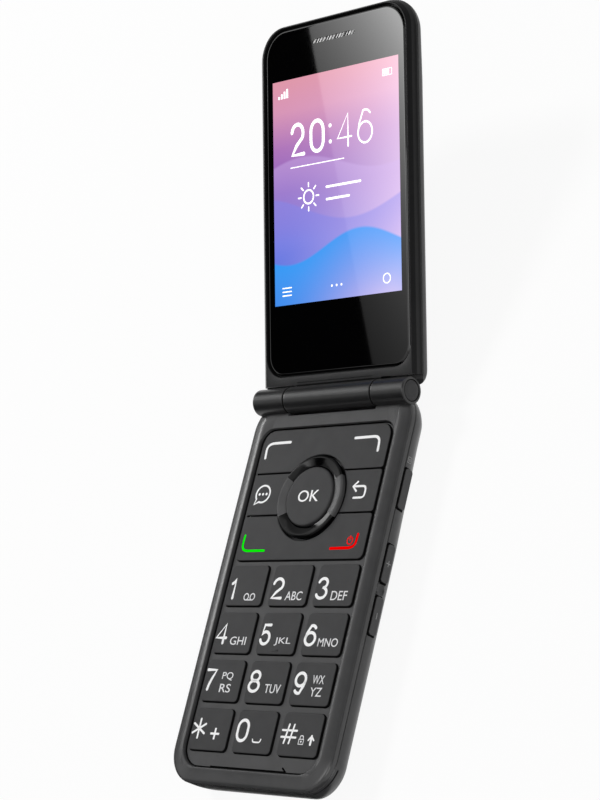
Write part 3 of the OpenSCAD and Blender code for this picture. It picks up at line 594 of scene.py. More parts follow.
# An outer barrel has a rounded rim, and a sunk end for its cap
knuckle = revolved(barrel_end(BARREL_HALF + SEAM) + [
    (KNUCKLE_END - inset, r) for inset, r in (
        (0.6, BARREL_R), (0.3, BARREL_R), (0.1, BARREL_R - 0.07), (0.02, BARREL_R - 0.22),
        (0, BARREL_R - 0.36), (0, 2.76), (0.05, 2.7), (0.8, 2.7), (0.8, 0))])
piece("outer_barrels", paint_shade_on_seams(both_sides(knuckle)), BASE, BARREL_LOOK, "base")
cap = revolved([(KNUCKLE_END - inset, r) for inset, r in (
    (0.78, 0), (0.78, 2.52), (0.21, 2.52), (0.1, 2.47), (0.05, 2.36), (0.05, 1.2), (0.05, 0))])
piece("end_caps", both_sides(cap), BASE, [cap_grey], "base", "hinge_caps")


def round_levels(radius, start, first=0):
    """Inset and depth along a rounded edge that starts at a depth."""
    return [(radius * (1 - math.cos(math.radians(a))), start + radius * math.sin(math.radians(a)))
            for a in range(first, 81, 8)]


BACK_LEVELS = round_levels(6.5, 3.0) + [(7.4, 9.66), (9.5, 9.9), (11.5, 10.07), (13.5, 10.2)]
HINGE_END_LIFT = 0.9
# The far end stands nearly upright: shares of the inset that its wall and its corners take
FAR_END_SHARE = 0.12
FAR_CORNER_SHARE = 0.45


def cut_across(bm, places):
    """Adds a run of vertices across a shape at each place along Y."""
    for y in places:
        plane_cut(bm, (0, y, 0), (0, 1, 0), clear=False)


def back_form():
    """The form of the base below its parting line, whose curve is raised near the hinge."""
    bm = loft([base_level(-0.12, SPLIT - SEAM), base_level(0, SPLIT - SEAM - 0.12)] + [
        (-HALF_W + inset, HALF_W - inset, -BASE_L + FAR_END_SHARE * inset, BASE_END - inset,
         8.5 - FAR_CORNER_SHARE * inset, max(9 - inset, 1.5), RIM - depth)
        for inset, depth in BACK_LEVELS])
    cut_across(bm, (-12, -18, -25, -31, -38))
    for vert in bm.verts:
        depth = RIM - vert.co.z
        near = min(max((vert.co.y + 38) / 26, 0), 1)
        low = min(1, max((depth - 2.42) / 1.5, 0), max((10.1 - depth) / 3, 0))
        vert.co.z += HINGE_END_LIFT * near * low
    return bm


# Half width, inset at the ends and height of the steps of the base's inside
CAVITY = ((24.4, 1.9, RIM - 5.1), (21.0, 5.3, COVER_SEAM + SEAM), (16.5, 9.8, BASE_BACK + 1.3))


def cavity(steps=CAVITY):
    return [loft([cavity_level(half, end, z) for z in (bottom, 1)]) for half, end, bottom in steps]


def side_block(ends, x0, x1, grow, half_h=1.25, z=SIDE_Z, radius=0.7):
    """A rounded block through the side, as a side key's opening has."""
    return moved(prism((-ends[1] - grow, -ends[0] + grow, z - half_h - grow, z + half_h + grow),
                       radius, x0, x1, 6), SIDEWAYS)


rear_cuts = cavity() + base_hinge_cuts()
rear_cuts.append(both_sides(rod(BARREL_HALF, FAR, BARREL_R + SEAM)))
rear_cuts.append(block(-FAR, FAR, -FAR, -COVER_NEAR + SEAM, -FAR, COVER_SEAM + SEAM))
rear_cuts += [side_block(ends, HALF_W - 3.5, FAR, 0.4) for ends in SIDE_KEYS.values()]
scoop = bmesh.new()
bmesh.ops.create_uvsphere(scoop, u_segments=40, v_segments=24, radius=2.2)
rear_cuts.append(moved(scoop, Matrix.Translation((HALF_W + 1.32, -48.25, SIDE_Z))))
headset_way = rod(-FAR, -HALF_W + 17.4, 2.0, 40)
rear_cuts.append(moved(headset_way, Matrix.Translation((0, -19.5, -4.65))))
charging_way = side_block((26.9, 35.1), -HALF_W - 5, -HALF_W + 11, 0, 1.7, -5.6, 0.6)
rear_cuts.append(charging_way)
rear_cuts += [prism((-1.4 + i * 2.2, -0.6 + i * 2.2, -18.5, -11.5), 0.39, -FAR, -4, 4)
              for i in range(-2, 3)]
rear_cuts.append(both_sides(peg(19, -7.2, 1.7, DEEP, BASE_BACK + 3)))
# A pry slot round the far right corner, cut off a ring
pry = turned([(7.8, -3.8), (9.5, -3.8), (9.5, -3.3), (7.8, -3.3), (7.8, -3.8)],
             (HALF_W - 8.5, -BASE_L + 8.5), 64)
plane_cut(pry, (HALF_W - 8.5, 0, 0), (-1, 0, 0))
plane_cut(pry, (0, -BASE_L + 6.3, 0), (0, 1, 0))
bmesh.ops.holes_fill(pry, edges=[e for e in pry.edges if e.is_boundary], sides=8)
rear_cuts.append(face_outward(pry))
rear = carve(back_form(), rear_cuts)
# Painted shade: the walls of the side keys' openings take the near-black finish of shadow
shade(rear, 1, lambda middle, normal: abs(normal.x) < 0.3 and 22.5 < middle.x < HALF_W - 0.02
      and SIDE_Z - 1.6 < middle.z < SIDE_Z + 1.6
      and any(-far - 0.35 < middle.y < -near + 0.35 for near, far in SIDE_KEYS.values()))
piece("rear_housing", rear, BASE, SIDE_LOOK, "base", "base_rear_housing")

cover = carve(back_form(), [block(-FAR, FAR, -FAR, -COVER_NEAR, -FAR, COVER_SEAM)], "INTERSECT")
piece("rear_cover", carve(cover, cavity(CAVITY[2:])), BASE, [charcoal_deep], "base",
      "battery_cover")


# ---------- keys ----------

# Growth and depth along the rounded upper edge of a key, and of a side key
KEY_EDGE = ((0, 0.13), (-0.02, 0.06), (-0.07, 0.015), (-0.14, 0), (-0.4, 0))
SIDE_KEY_EDGE = ((0, 0.12), (-0.03, 0.05), (-0.08, 0.015), (-0.16, 0), (-0.4, 0))


def plunger(x, y, bottom=FLOOR_BACK - 0.65, top=FLOOR_BACK + 0.2):
    """The peg under a key that presses its dome."""
    return peg(x, y, 1.2, bottom, top)


def paint_shade_on_flanks(bm):
    """Gives the upright faces of a key below its rounded edge painted shade: a near-black finish
    for the shadow in the gap round the key.
    """
    return shade(bm, 1, lambda middle, normal: abs(normal.z) < 0.3 and middle.z < KEY_TOP - 0.08)


def key_piece(name, shape, node, look=KEY_LOOK):
    """A key, which stands for its node and rides on the body of the same name."""
    piece(name, shape, BASE, look, node, node)


def number_key(column, row):
    """A number key with the skirt that keeps it in and the plunger under it."""
    x, y = number_place(column, row)
    box = (x - KEY_HALF_W, x + KEY_HALF_W, y - KEY_HALF_H, y + KEY_HALF_H)
    skirt = [level(box, (1.1, 1.1), z, 0.4) for z in (-2.5, -2.05)]
    bm = loft(skirt + edge_levels(box, (1.1, 1.1), -2.05, KEY_TOP, KEY_EDGE), 6)
    return join(bm, plunger(x, y, -2.65, -2.4))


NUMBER_KEYS = {"key_1": (0, 0), "key_2": (1, 0), "key_3": (2, 0),
               "key_4": (0, 1), "key_5": (1, 1), "key_6": (2, 1),
               "key_7": (0, 2), "key_8": (1, 2), "key_9": (2, 2),
               "key_star": (0, 3), "key_0": (1, 3), "key_hash": (2, 3)}
for name, (column, row) in NUMBER_KEYS.items():
    shape = number_key(column, row)
    if name == "key_5":
        y = number_place(column, row)[1]
        bar = prism((-1.05, 1.0, -4.28 + y, -3.92 + y), 0.17, KEY_TOP - 0.1, KEY_TOP + 0.16, 4)
        shape = join(shape, bar)
    key_piece(name + "_cap", paint_shade_on_flanks(shape), name)


def round_the_ring(box, radii):
    """A key beside the ring, with a round cut for it whose upper edge is rounded."""
    room = [(0, -4), (RING_CLEARANCE, -4), (RING_CLEARANCE, KEY_TOP - 0.2),
            (RING_CLEARANCE + 0.05, KEY_TOP - 0.09), (RING_CLEARANCE + 0.2, KEY_TOP),
            (RING_CLEARANCE + 0.4, KEY_TOP + 0.4), (0, KEY_TOP + 0.4)]
    return carve(loft(edge_levels(box, radii, FLOOR_BACK, KEY_TOP, KEY_EDGE), 6),
                 [turned(room, (0, NAV_Y), 128)])


def wide_plate(y0, y1, radii, domes_y, rib):
    """A plate across the keypad, with a plunger at each side and the rib that it rocks on."""
    plate = round_the_ring((-PLATE_HALF, PLATE_HALF, y0, y1), radii)
    ridge = moved(rod(0, rib[1] - rib[0], 0.45, 24), Matrix.Translation((0, rib[0], FLOOR_BACK))
                  @ Matrix.Rotation(math.radians(90), 4, "Z"))
    return paint_shade_on_flanks(join(plate, both_sides(plunger(14.5, domes_y)), ridge))


key_piece("soft_key_plate", wide_plate(-19.02, -7.75, (0.8, 3.2), -13.475, (-14.6, -8.25)),
          "softkey_plate")
key_piece("call_key_plate", wide_plate(PLATES_FAR, -30.38, (1.6, 0.8), -37.25, (-41.25, -37.2)),
          "call_plate")
for name, side in (("message_key", -1), ("back_key", 1)):
    x0, x1 = sorted((side * 8.4, side * PLATE_HALF))
    shape = round_the_ring((x0, x1, -30.02, -19.38), (0.8, 0.8))
    key_piece(name + "_cap", paint_shade_on_flanks(join(shape, plunger(side * 16.525, -24.7))), name)

# The ring: a rounded, slightly dished top, in glossy quarters up and down and satin ones beside.
# The satin quarters are also much paler: a painted sheen that stands in for the ring's anisotropic
# reflection.
ring = turned([(7.7, -1.15), (10.0, -1.15), (10.0, -0.55), (10.6, -0.55), (10.6, 0.0),
               (10.55, 0.2), (10.42, 0.34), (10.22, 0.43), (9.98, NAV_TOP), (9.72, 0.42),
               (8.5, 0.165), (8.12, 0.10), (7.88, 0.02), (7.75, -0.1), (7.7, -0.3),
               (7.7, -1.15)], (0, NAV_Y), 144)
PAINTED_SHEEN_ANGLE = math.radians(31.2)
shade(ring, 1, lambda middle, normal:
      math.atan2(abs(middle.y - NAV_Y), abs(middle.x)) <= PAINTED_SHEEN_ANGLE)
pins = moved(rod(7.8, 9.9, 0.3, 20), Matrix.Translation((0, NAV_Y, -1.15)))
piece("navigation_ring", join(ring, both_sides(pins)), BASE, RING_LOOK, "nav_ring", "nav_ring")

ok = turned([(0, FLOOR_BACK), (7.55, FLOOR_BACK), (7.55, 0.14), (7.52, 0.28), (7.42, 0.38),
             (7.25, 0.44), (6.9, NAV_TOP), (4.0, NAV_TOP), (0, NAV_TOP)], (0, NAV_Y), 128)
key_piece("ok_key_cap", join(ok, plunger(0, NAV_Y)), "ok_key", [key_grey])

for name, (near, far) in SIDE_KEYS.items():
    shape = loft(edge_levels((-far, -near, SIDE_Z - 1.25, SIDE_Z + 1.25), (0.7, 0.7),
                             HALF_W - 3.1, SIDE_FACE, SIDE_KEY_EDGE, 0.15), 6)
    shape = face_outward(moved(shape, SIDEWAYS))
    # Painted shade: the side key's flanks take the near-black finish of shadow
    shade(shape, 1, lambda middle, normal: abs(normal.x) < 0.3)
    key_piece(name + "_cap", shape, name, SIDE_LOOK)


# ---------- lid ----------

# Side inset, top inset and depth of the lid's front edge
LID_RIM = [(0, 0, 1.83), (0, 0, 1.6), (0.12, 0.03, 1.4), (0.4, 0.1, 1.1), (0.9, 0.25, 0.75),
           (1.3, 0.42, 0.45), (1.6, 0.55, 0.2), (1.8, 0.64, 0.05), (1.95, 0.72, 0.0)]
LID_BACK_LEVELS = round_levels(4, 1.95, 16) + [(4.5, 6.13), (6.5, 6.4), (8, 6.66), (9.5, 6.85),
                                               (12, 7.0)]
LID_TOP_TAPER = 0.9
# Where the first of the chin's grooves starts, and how far apart they are
GROOVE_START, GROOVE_PITCH = 3.2, 0.6
OUTER_WINDOW = (36.0, 82.0)


def lid_level(side, top, hinge, r_hinge, r_top, z):
    """The outline of the lid, drawn in at its sides, its top and its hinge end."""
    return (-HALF_W + side, HALF_W - side, 1.5 + hinge, LID_L - top, r_hinge, r_top, z)


def window_level(grow, z):
    return level((-23.75, 23.75, 6.5, 94.0), (5, 7), z, grow)


def hinge_scallops():
    return both_sides(rod(BARREL_HALF + SEAM / 2, FAR, BARREL_R + 0.8))


def chin_grooves():
    """Three fine grooves across the lid beside the hinge."""
    starts = [GROOVE_START + i * GROOVE_PITCH for i in range(3)]
    return [block(-13.55, 11.55, start, start + 0.14, FRAME - 0.28, 0) for start in starts]


def paint_shade_in_grooves(bm):
    """Gives the inside of the grooves beside the hinge painted shade: a near-black finish for the
    shadow in them.
    """
    return shade(bm, 1, lambda middle, normal: FRAME - 0.3 < middle.z < FRAME - 0.02
                 and abs(middle.x) < 13.6 and 3.0 < middle.y < 5.0)


bm = loft([lid_level(0.1, 0.1, 0, 2, 8.1, LID_SPLIT)] + [
    lid_level(side, top, 0, 2, 8.2 - (side + top) / 2, FRAME - depth)
    for side, top, depth in LID_RIM] + [
    window_level(grow, z) for grow, z in ((0.52, FRAME), (0.45, FRAME - 0.03),
                                          (0.4, FRAME - 0.12), (0.38, WINDOW_BACK))])
plane_cut(bm, (0, 3.9, 0), (0, -1, 0))
bmesh.ops.holes_fill(bm, edges=[e for e in bm.edges if e.is_boundary], sides=0)
display_room = prism((-22.01, 22.01, 22.2, 83.16), 1.1, -6, 0)
earpiece_room = prism((-7.35, 7.35, EARPIECE_Y - 0.9, EARPIECE_Y + 0.9), 0.89, -6, 0)
lid_front = paint_shade_in_grooves(carve(face_outward(bm), [
    hinge_scallops(), *chin_grooves(), display_room, earpiece_room]))
# Painted shade: the frame's sloped edges take the darker copy of the lid plastic, and the walls
# round the window the near-black finish
shade(lid_front, 2, lambda middle, normal: normal.z < 0.97 and middle.z > FRAME - 0.8)
shade(lid_front, 1, lambda middle, normal: abs(normal.z) < 0.3 and middle.z < FRAME - 0.1
      and abs(middle.x) < 24.6 and 5.5 < middle.y < 94.8)
piece("lid_frame", lid_front, LID, LID_LOOK, "lid", "lid_front_housing")

neck = carve(block(-BARREL_HALF + 0.02, BARREL_HALF - 0.02, 0.4, 4.5, -2.95, FRAME - 0.1),
             chin_grooves())
piece("lid_neck", paint_shade_in_grooves(neck), LID, LID_LOOK[:2], "lid")

left_end = barrel_end(-BARREL_HALF)
barrel = revolved(left_end + [(-x, r) for x, r in reversed(left_end)])
piece("middle_barrel", paint_shade_on_seams(barrel), LID, BARREL_LOOK, "lid")


def lid_back_form():
    """The form of the lid behind its parting line, whose side curve is raised at the top."""
    bm = loft([lid_level(0.12, 0.12, 0.12, 2, 8.1, LID_SPLIT - SEAM),
               lid_level(0, 0, 0, 2, 8.2, LID_SPLIT - SEAM - 0.12)] + [
        lid_level(inset, inset, inset, 2 + min(inset, 4), max(8.2 - inset, 2), FRAME - depth)
        for inset, depth in LID_BACK_LEVELS])
    cut_across(bm, (75.3, 78, 81, 84))
    for vert in bm.verts:
        depth = FRAME - vert.co.z
        high = min(max((vert.co.y - 75.3) / 20, 0), 1)
        low = max(min((depth - 2.2) / 3.7, (6.8 - depth) / 0.9), 0)
        vert.co.z += LID_TOP_TAPER * high * low
    return bm


lid_cuts = [hinge_scallops(), rod(-BARREL_HALF - 1, BARREL_HALF + 1, BARREL_R + SEAM),
            prism((-24.5, 24.5, 7.3, 93.5), (3, 6), -4.95, 0),
            prism((-18.1, 18.1, 13.7, 87.1), (3, 6), LID_BACK + 1.3, 0),
            prism((-13.9, 13.9, OUTER_WINDOW[0] - 0.1, OUTER_WINDOW[1] + 0.1), 3, -9,
                  LID_BACK + 0.75),
            block(-12.5, 12.5, 40.9, 69.1, -9, 0),
            peg(0, CAMERA_Y, 3.1, DEEP, -2, 48), peg(8, CAMERA_Y, 1.4, DEEP, -2),
            both_sides(peg(18.5, 10.5, 1.1, DEEP, -2)), both_sides(peg(15.5, 86, 1.1, DEEP, -2))]
piece("lid_back", carve(lid_back_form(), lid_cuts), LID, [lid_deep], "lid", "lid_rear_housing")

# The window: one slab, whose lit picture is a field of its upper face
window = carve(loft([window_level(grow, z) for grow, z in (
    (0, WINDOW_BACK), (0, WINDOW - 0.4), (-0.06, WINDOW - 0.2), (-0.2, WINDOW - 0.07),
    (-0.42, WINDOW - 0.01), (-0.6, WINDOW), (-0.8, WINDOW))]),
    [prism((-7.3, 7.3, EARPIECE_Y - 0.55, EARPIECE_Y + 0.55), 0.54, -6, 0)])
for axis, value in ((0, -PICTURE_HALF), (0, PICTURE_HALF), (1, PICTURE[0]), (1, PICTURE[1])):
    upper = [f for f in window.faces
             if f.normal.z > 0.9 and f.calc_center_median().z > WINDOW - 0.01]
    around = {e for f in upper for e in f.edges} | {v for f in upper for v in f.verts}
    centre, normal = [0, 0, 0], [0, 0, 0]
    centre[axis], normal[axis] = value, 1
    bmesh.ops.bisect_plane(window, geom=upper + list(around), dist=1e-5, plane_co=centre,
                           plane_no=normal)
shade(window, 1, lambda middle, normal: middle.z > WINDOW - 0.01
      and abs(middle.x) < PICTURE_HALF and PICTURE[0] < middle.y < PICTURE[1])
uv = window.loops.layers.uv.new("picture")
for face in window.faces:
    for loop in face.loops:
        loop[uv].uv = ((loop.vert.co.x + PICTURE_HALF) / (2 * PICTURE_HALF),
                       (loop.vert.co.y - PICTURE[0]) / (PICTURE[1] - PICTURE[0]))
piece("display_window", window, LID, [window_gloss, picture], "lid", "lid_window")


# ---------- legends ----------

FIGURE_WIDTH = 0.76
LETTER_WEIGHT = 0.004
MARK_H = 0.012
LOOP = {"closed": True}


def clean(bm):
    """Closes the seams of a shape that came from a curve."""
    bmesh.ops.remove_doubles(bm, verts=bm.verts[:], dist=1e-5)
    return face_outward(bm)


def lettering(text, box, z, weight):
    """Letters of Blender's own font that fill a box and stand a little above a surface."""
    curve = bpy.data.curves.new("letters", "FONT")
    curve.body, curve.offset, curve.extrude, curve.resolution_u = text, weight, 0.004, 6
    bm = clean(shape_of(add_object("letters", curve)))
    x0, x1, y0, y1 = box
    low, high = [[pick(v.co[i] for v in bm.verts) for i in (0, 1)] for pick in (min, max)]
    size = Matrix.Diagonal(((x1 - x0) / (high[0] - low[0]), (y1 - y0) / (high[1] - low[1]), 1, 1))
    return moved(bm, Matrix.Translation((x0, y0, z + 0.008)) @ size
                 @ Matrix.Translation((-low[0], -low[1], 0)))


def stroke(points, z, width, bend=0.0, closed=False):
    """A drawn line with round ends through points, with its corners bent."""
    path = []
    for i, point in enumerate(points):
        here = Vector(point)
        if bend and (closed or 0 < i < len(points) - 1):
            sides = [Vector(points[i - 1]) - here, Vector(points[(i + 1) % len(points)]) - here]
            enter, leave = [here + side.normalized() * min(bend, side.length * 0.5)
                            for side in sides]
            path += [enter.lerp(here, t).lerp(here.lerp(leave, t), t)
                     for t in (0, 0.2, 0.4, 0.6, 0.8, 1)]
        else:
            path.append(here)
    curve = bpy.data.curves.new("stroke", "CURVE")
    curve.dimensions = "3D"
    curve.bevel_depth, curve.bevel_resolution, curve.use_fill_caps = width / 2, 3, True
    line = curve.splines.new("POLY")
    line.points.add(len(path) - 1)
    for place, point in zip(line.points, path):
        place.co = (*point, 0, 1)
    line.use_cyclic_u = closed
    shapes = [clean(shape_of(add_object("stroke", curve)))]
    for end in () if closed else (path[0], path[-1]):
        ball = bmesh.new()
        bmesh.ops.create_uvsphere(ball, u_segments=16, v_segments=8, radius=width / 2)
        shapes.append(moved(ball, Matrix.Translation((*end, 0))))
    return moved(join(*shapes), Matrix.Translation((0, 0, z + 0.006))
                 @ Matrix.Diagonal((1, 1, 0.03 / width, 1)))


def strokes(z, rows, middle=(0, 0)):
    """Drawn lines at a height, each from its points about a middle, its width and its manner."""
    return [stroke([(x + middle[0], y + middle[1]) for x, y in points], z, width, **dict(*manner))
            for points, width, *manner in rows]


def bow(cx, cy, rx, ry, start, stop, step=15):
    """Points of an arc of an ellipse."""
    count = max(int(abs(stop - start) / step), 2)
    return [(cx + rx * math.cos(math.radians(start + (stop - start) * i / count)),
             cy + ry * math.sin(math.radians(start + (stop - start) * i / count)))
            for i in range(count + 1)]


def circle(cx, cy, rx, ry, width):
    """A row for a round line."""
    return bow(cx, cy, rx, ry, 0, 345), width, LOOP


# Plain figures, drawn as lines in a box of one by one. A true value closes a line.
FIGURE_LINES = {
    "0": [(bow(0.5, 0.66, 0.5, 0.34, 0, 180) + bow(0.5, 0.34, 0.5, 0.34, 180, 360), True)],
    "1": [([(0.12, 0.76), (0.42, 0.84), (0.62, 1.0), (0.62, 0.0)], False)],
    "2": [(bow(0.5, 0.70, 0.46, 0.30, 170, -35) + [(0.42, 0.30), (0.06, 0.0), (1.0, 0.0)], False)],
    "3": [(bow(0.48, 0.76, 0.42, 0.24, 165, -80) + bow(0.48, 0.27, 0.5, 0.27, 80, -160), False)],
    "4": [([(0.76, 0.0), (0.76, 1.0), (0.0, 0.28), (1.0, 0.28)], False)],
    "5": [([(0.88, 1.0), (0.20, 1.0), (0.10, 0.50)] + bow(0.48, 0.32, 0.5, 0.32, 120, -160),
           False)],
    "6": [(bow(0.52, 0.72, 0.42, 0.28, 35, 125)[:-1] + [(0.10, 0.62), (0.0, 0.32)]
           + bow(0.5, 0.32, 0.5, 0.32, 180, 530), False)],
    "7": [([(0.0, 1.0), (0.98, 1.0), (0.62, 0.55), (0.44, 0.25), (0.36, 0.0)], False)],
    "8": [(bow(0.5, 0.76, 0.42, 0.24, 0, 360)[:-1], True),
          (bow(0.5, 0.27, 0.5, 0.27, 0, 360)[:-1], True)]}
FIGURE_LINES["9"] = [([(1 - px, 1 - py) for px, py in FIGURE_LINES["6"][0][0]], False)]


def figure(sign, x0, x1, y0, y1, z, width):
    """A figure whose lines fill a box."""
    half = width / 2
    return [stroke([(x0 + half + px * (x1 - x0 - width), y0 + half + py * (y1 - y0 - width))
                    for px, py in points], z, width, closed=closed)
            for points, closed in FIGURE_LINES[sign]]


def dots(z, places, radius):
    return [peg(x, y, radius, z, z + MARK_H, 24) for x, y in places]


def legend(name, shapes, ink, body, place=BASE):
    piece(name, join(*shapes), place, [ink], body, sharp=50)


# About a number key's middle: the lower and upper ends of a row's figures, the left and right
# ends of a figure, and the letters' left, right, lower and upper ends
FIGURE_ROWS = [(-3.55, 2.05), (-3.0, 2.45), (-2.66, 2.95), (-2.64, 3.07)]
FIGURES = {"key_1": (-5.5, -2.75), "key_2": (-5.95, -1.8), "key_3": (-5.95, -2.0),
           "key_4": (-6.3, -2.2), "key_5": (-5.95, -2.3), "key_6": (-6.1, -2.2),
           "key_7": (-6.15, -2.4), "key_8": (-6.0, -2.0), "key_9": (-5.9, -2.0),
           "key_0": (-6.0, -1.95)}
LETTERS = (("key_2", "ABC", -0.75, 4.75, -3.7, -1.5), ("key_3", "DEF", -0.7, 4.4, -3.65, -1.4),
           ("key_4", "GHI", -0.9, 4.5, -3.0, -0.95), ("key_5", "JKL", -0.7, 4.6, -2.95, -0.95),
           ("key_6", "MNO", -1.35, 4.95, -2.95, -0.9), ("key_7", "PQ", -0.5, 3.2, 0.1, 2.15),
           ("key_7", "RS", -0.5, 3.2, -2.85, -0.75), ("key_8", "TUV", -0.2, 5.0, -2.55, -0.4),
           ("key_9", "WX", -0.2, 3.5, 0.1, 2.15), ("key_9", "YZ", -0.2, 3.5, -2.85, -0.75),
           ("key_star", "+", 0.25, 3.25, -2.4, 0.4))
# The other signs, as rows of lines: a star, a hash with an arrow, a tape, a space and a lock
STAR = [([(-3.95 - 2.3 * c, 0.08 - 2.3 * s), (-3.95 + 2.3 * c, 0.08 + 2.3 * s)], 0.55)
        for c, s in ((math.cos(math.radians(a)), math.sin(math.radians(a))) for a in (90, 30, -30))]
HASH = [row for aside in (-0.8, 0.8) for row in (
    ([(-5.9, 0.1 + aside), (-1.3, 0.1 + aside)], 0.5),
    ([(-3.95 + aside, -2.1), (-3.25 + aside, 2.3)], 0.5))]
ARROW = [([(3.7, -0.15), (3.7 + aside, -1.1)], 0.42) for aside in (-0.85, 0.85)]
ARROW.append(([(3.7, -0.15), (3.7, -2.1)], 0.62))
TAPE = [circle(0.9, -2.85, 0.75, 0.8, 0.3), circle(3.0, -2.85, 0.75, 0.8, 0.3),
        ([(0.9, -3.65), (3.0, -3.65)], 0.3)]
SPACE = [([(-0.1, -1.75), (0.1, -2.4), (2.35, -2.4), (2.6, -1.65)], 0.36, {"bend": 0.5})]
LOCK = [([(-0.1, -2.15), (1.4, -2.15), (1.4, -1.0), (-0.1, -1.0)], 0.28, LOOP),
        ([(0.15, -1.0), (0.15, -0.15), (1.15, -0.15), (1.15, -1.0)], 0.26, {"bend": 0.5})]
FIGURE_SIGNS = {"key_star": STAR, "key_hash": HASH + ARROW}
LETTER_SIGNS = {"key_1": TAPE, "key_0": SPACE, "key_hash": LOCK}

for name, (column, row) in NUMBER_KEYS.items():
    x, y = number_place(column, row)
    figures = strokes(KEY_TOP, FIGURE_SIGNS.get(name, ()), (x, y))
    if name in FIGURES:
        (low, high), (left, right) = FIGURE_ROWS[row], FIGURES[name]
        figures = figure(name[-1], x + left, x + right, y + low, y + high, KEY_TOP, FIGURE_WIDTH)
    letters = [lettering(text, (x + left, x + right, y + low, y + high), KEY_TOP, LETTER_WEIGHT)
               for key, text, left, right, low, high in LETTERS if key == name]
    letters += strokes(KEY_TOP, LETTER_SIGNS.get(name, ()), (x, y))
    if name == "key_hash":
        letters += dots(KEY_TOP, [(x + 0.65, y - 1.55)], 0.24)
    legend(name + "_figure", figures, white_ink, name)
    legend(name + "_letters", letters, white_ink if name in ("key_star", "key_0") else pale_ink,
           name)

legend("soft_key_marks", strokes(KEY_TOP, [
    ([(-19.45, -14.9), (-19.75, -11.1), (-11.8, -11.05)], 0.70, {"bend": 2.6}),
    ([(10.0, -11.1), (18.0, -11.0), (18.2, -14.7)], 0.70, {"bend": 1.9})]),
    white_ink, "softkey_plate")
legend("call_mark", strokes(KEY_TOP, [
    ([(-19.6, -35.3), (-19.75, -39.3), (-11.8, -39.3)], 0.62, {"bend": 2.2})]),
    green_ink, "call_plate")
legend("end_mark", strokes(KEY_TOP, [
    ([(10.3, -39.1), (18.0, -39.0), (18.2, -35.7)], 0.70, {"bend": 2.2}),
    (bow(16.05, -37.2, 0.85, 0.95, 120, 420, 20), 0.3),
    ([(16.05, -37.1), (16.05, -36.1)], 0.3)]), red_ink, "call_plate")
bubble = bow(-17.0, -24.5, 2.35, 2.2, -112, 216, 8) + [(-19.35, -27.2)]
legend("message_mark", strokes(KEY_TOP, [(bubble, 0.5, LOOP)])
       + dots(KEY_TOP, [(x, -24.55) for x in (-18.2, -17.0, -15.8)], 0.36),
       white_ink, "message_key")
legend("return_mark", strokes(KEY_TOP, [
    ([(13.1, -23.6), (17.25, -23.6), (17.25, -26.5), (13.9, -26.5)], 0.55, {"bend": 1.1}),
    ([(14.3, -22.5), (13.0, -23.6), (14.3, -24.8)], 0.55)]), white_ink, "back_key")
legend("ok_mark", [lettering("OK", (-3.65, 3.3, NAV_Y - 1.45, NAV_Y + 1.5), NAV_TOP, 0.006)],
       white_ink, "ok_key")

# Small marks on the side: a camera above its key, and a plus and a minus on the volume keys
SIDE_MARKS = (
    ("camera_sign", "base", "housing_plastic", HALF_W - 0.01, [
        ([(-17.1, -4.0), (-15.7, -4.0), (-15.7, -2.9), (-17.1, -2.9)], 0.24, LOOP),
        ([(-16.4 + 0.25 * math.cos(a), -3.45 + 0.25 * math.sin(a))
          for a in (0, 1.05, 2.1, 3.14, 4.2, 5.25)], 0.16, LOOP)]),
    ("louder_sign", "volume_up_key", "key_plastic", SIDE_FACE, [
        ([(-42.6, SIDE_Z), (-41.3, SIDE_Z)], 0.22),
        ([(-41.95, SIDE_Z - 0.65), (-41.95, SIDE_Z + 0.65)], 0.22)]),
    ("quieter_sign", "volume_down_key", "key_plastic", SIDE_FACE, [
        ([(-55.2, SIDE_Z), (-53.9, SIDE_Z)], 0.22)]))
for name, body, slot, surface, rows in SIDE_MARKS:
    legend(name, [moved(join(*strokes(surface, rows)), SIDEWAYS)], side_ink, body)

# The picture's own marks: a rule, a clock, a sun with two lines, signal bars, a battery, a menu,
# a ring and three dots
marks = strokes(WINDOW, [([(-15.3, 58.6), (3.0, 58.6)], 0.25)])
marks += dots(WINDOW, [(-1.5, 63.4), (-1.5, 67.4)], 0.5)
for sign, left, width in (("2", -15.4, 0.95), ("0", -8.6, 0.95), ("4", 0.7, 0.5), ("6", 7.6, 0.5)):
    marks += figure(sign, left, left + 5.2, 61.2, 69.8, WINDOW, width)
marks += strokes(WINDOW, [circle(0, 0, 1.7, 1.7, 0.45)] + [
    ([(2.6 * c, 2.6 * s), (3.5 * c, 3.5 * s)], 0.4) for c, s in bow(0, 0, 1, 1, 0, 315, 45)],
    (-9.2, 50.6))
marks += strokes(WINDOW, [([(-3.0, 52.3), (8.4, 52.3)], 0.6), ([(-3.0, 49.2), (4.6, 49.2)], 0.6)])
marks += [block(-19.4 + i * 0.95, -18.8 + i * 0.95, 76.6, 77.3 + i * 0.55, WINDOW,
                WINDOW + MARK_H) for i in range(4)]
marks += strokes(WINDOW, [([(16.2, 76.8), (19.2, 76.8), (19.2, 78.4), (16.2, 78.4)], 0.22, LOOP)])
marks.append(block(16.5, 18.3, 77.05, 78.15, WINDOW, WINDOW + MARK_H))
marks += strokes(WINDOW, [([(-18.6, 26.6 + i * 0.95), (-15.6, 26.6 + i * 0.95)], 0.3)
                          for i in range(3)] + [circle(16.6, 27.6, 1.15, 1.15, 0.3)])
marks += dots(WINDOW, [(x, 27.6) for x in (-1.6, 0, 1.6)], 0.3)
legend("screen_marks", marks, lit_white, "lid", LID)


# ---------- frame pieces that keep their shape ----------

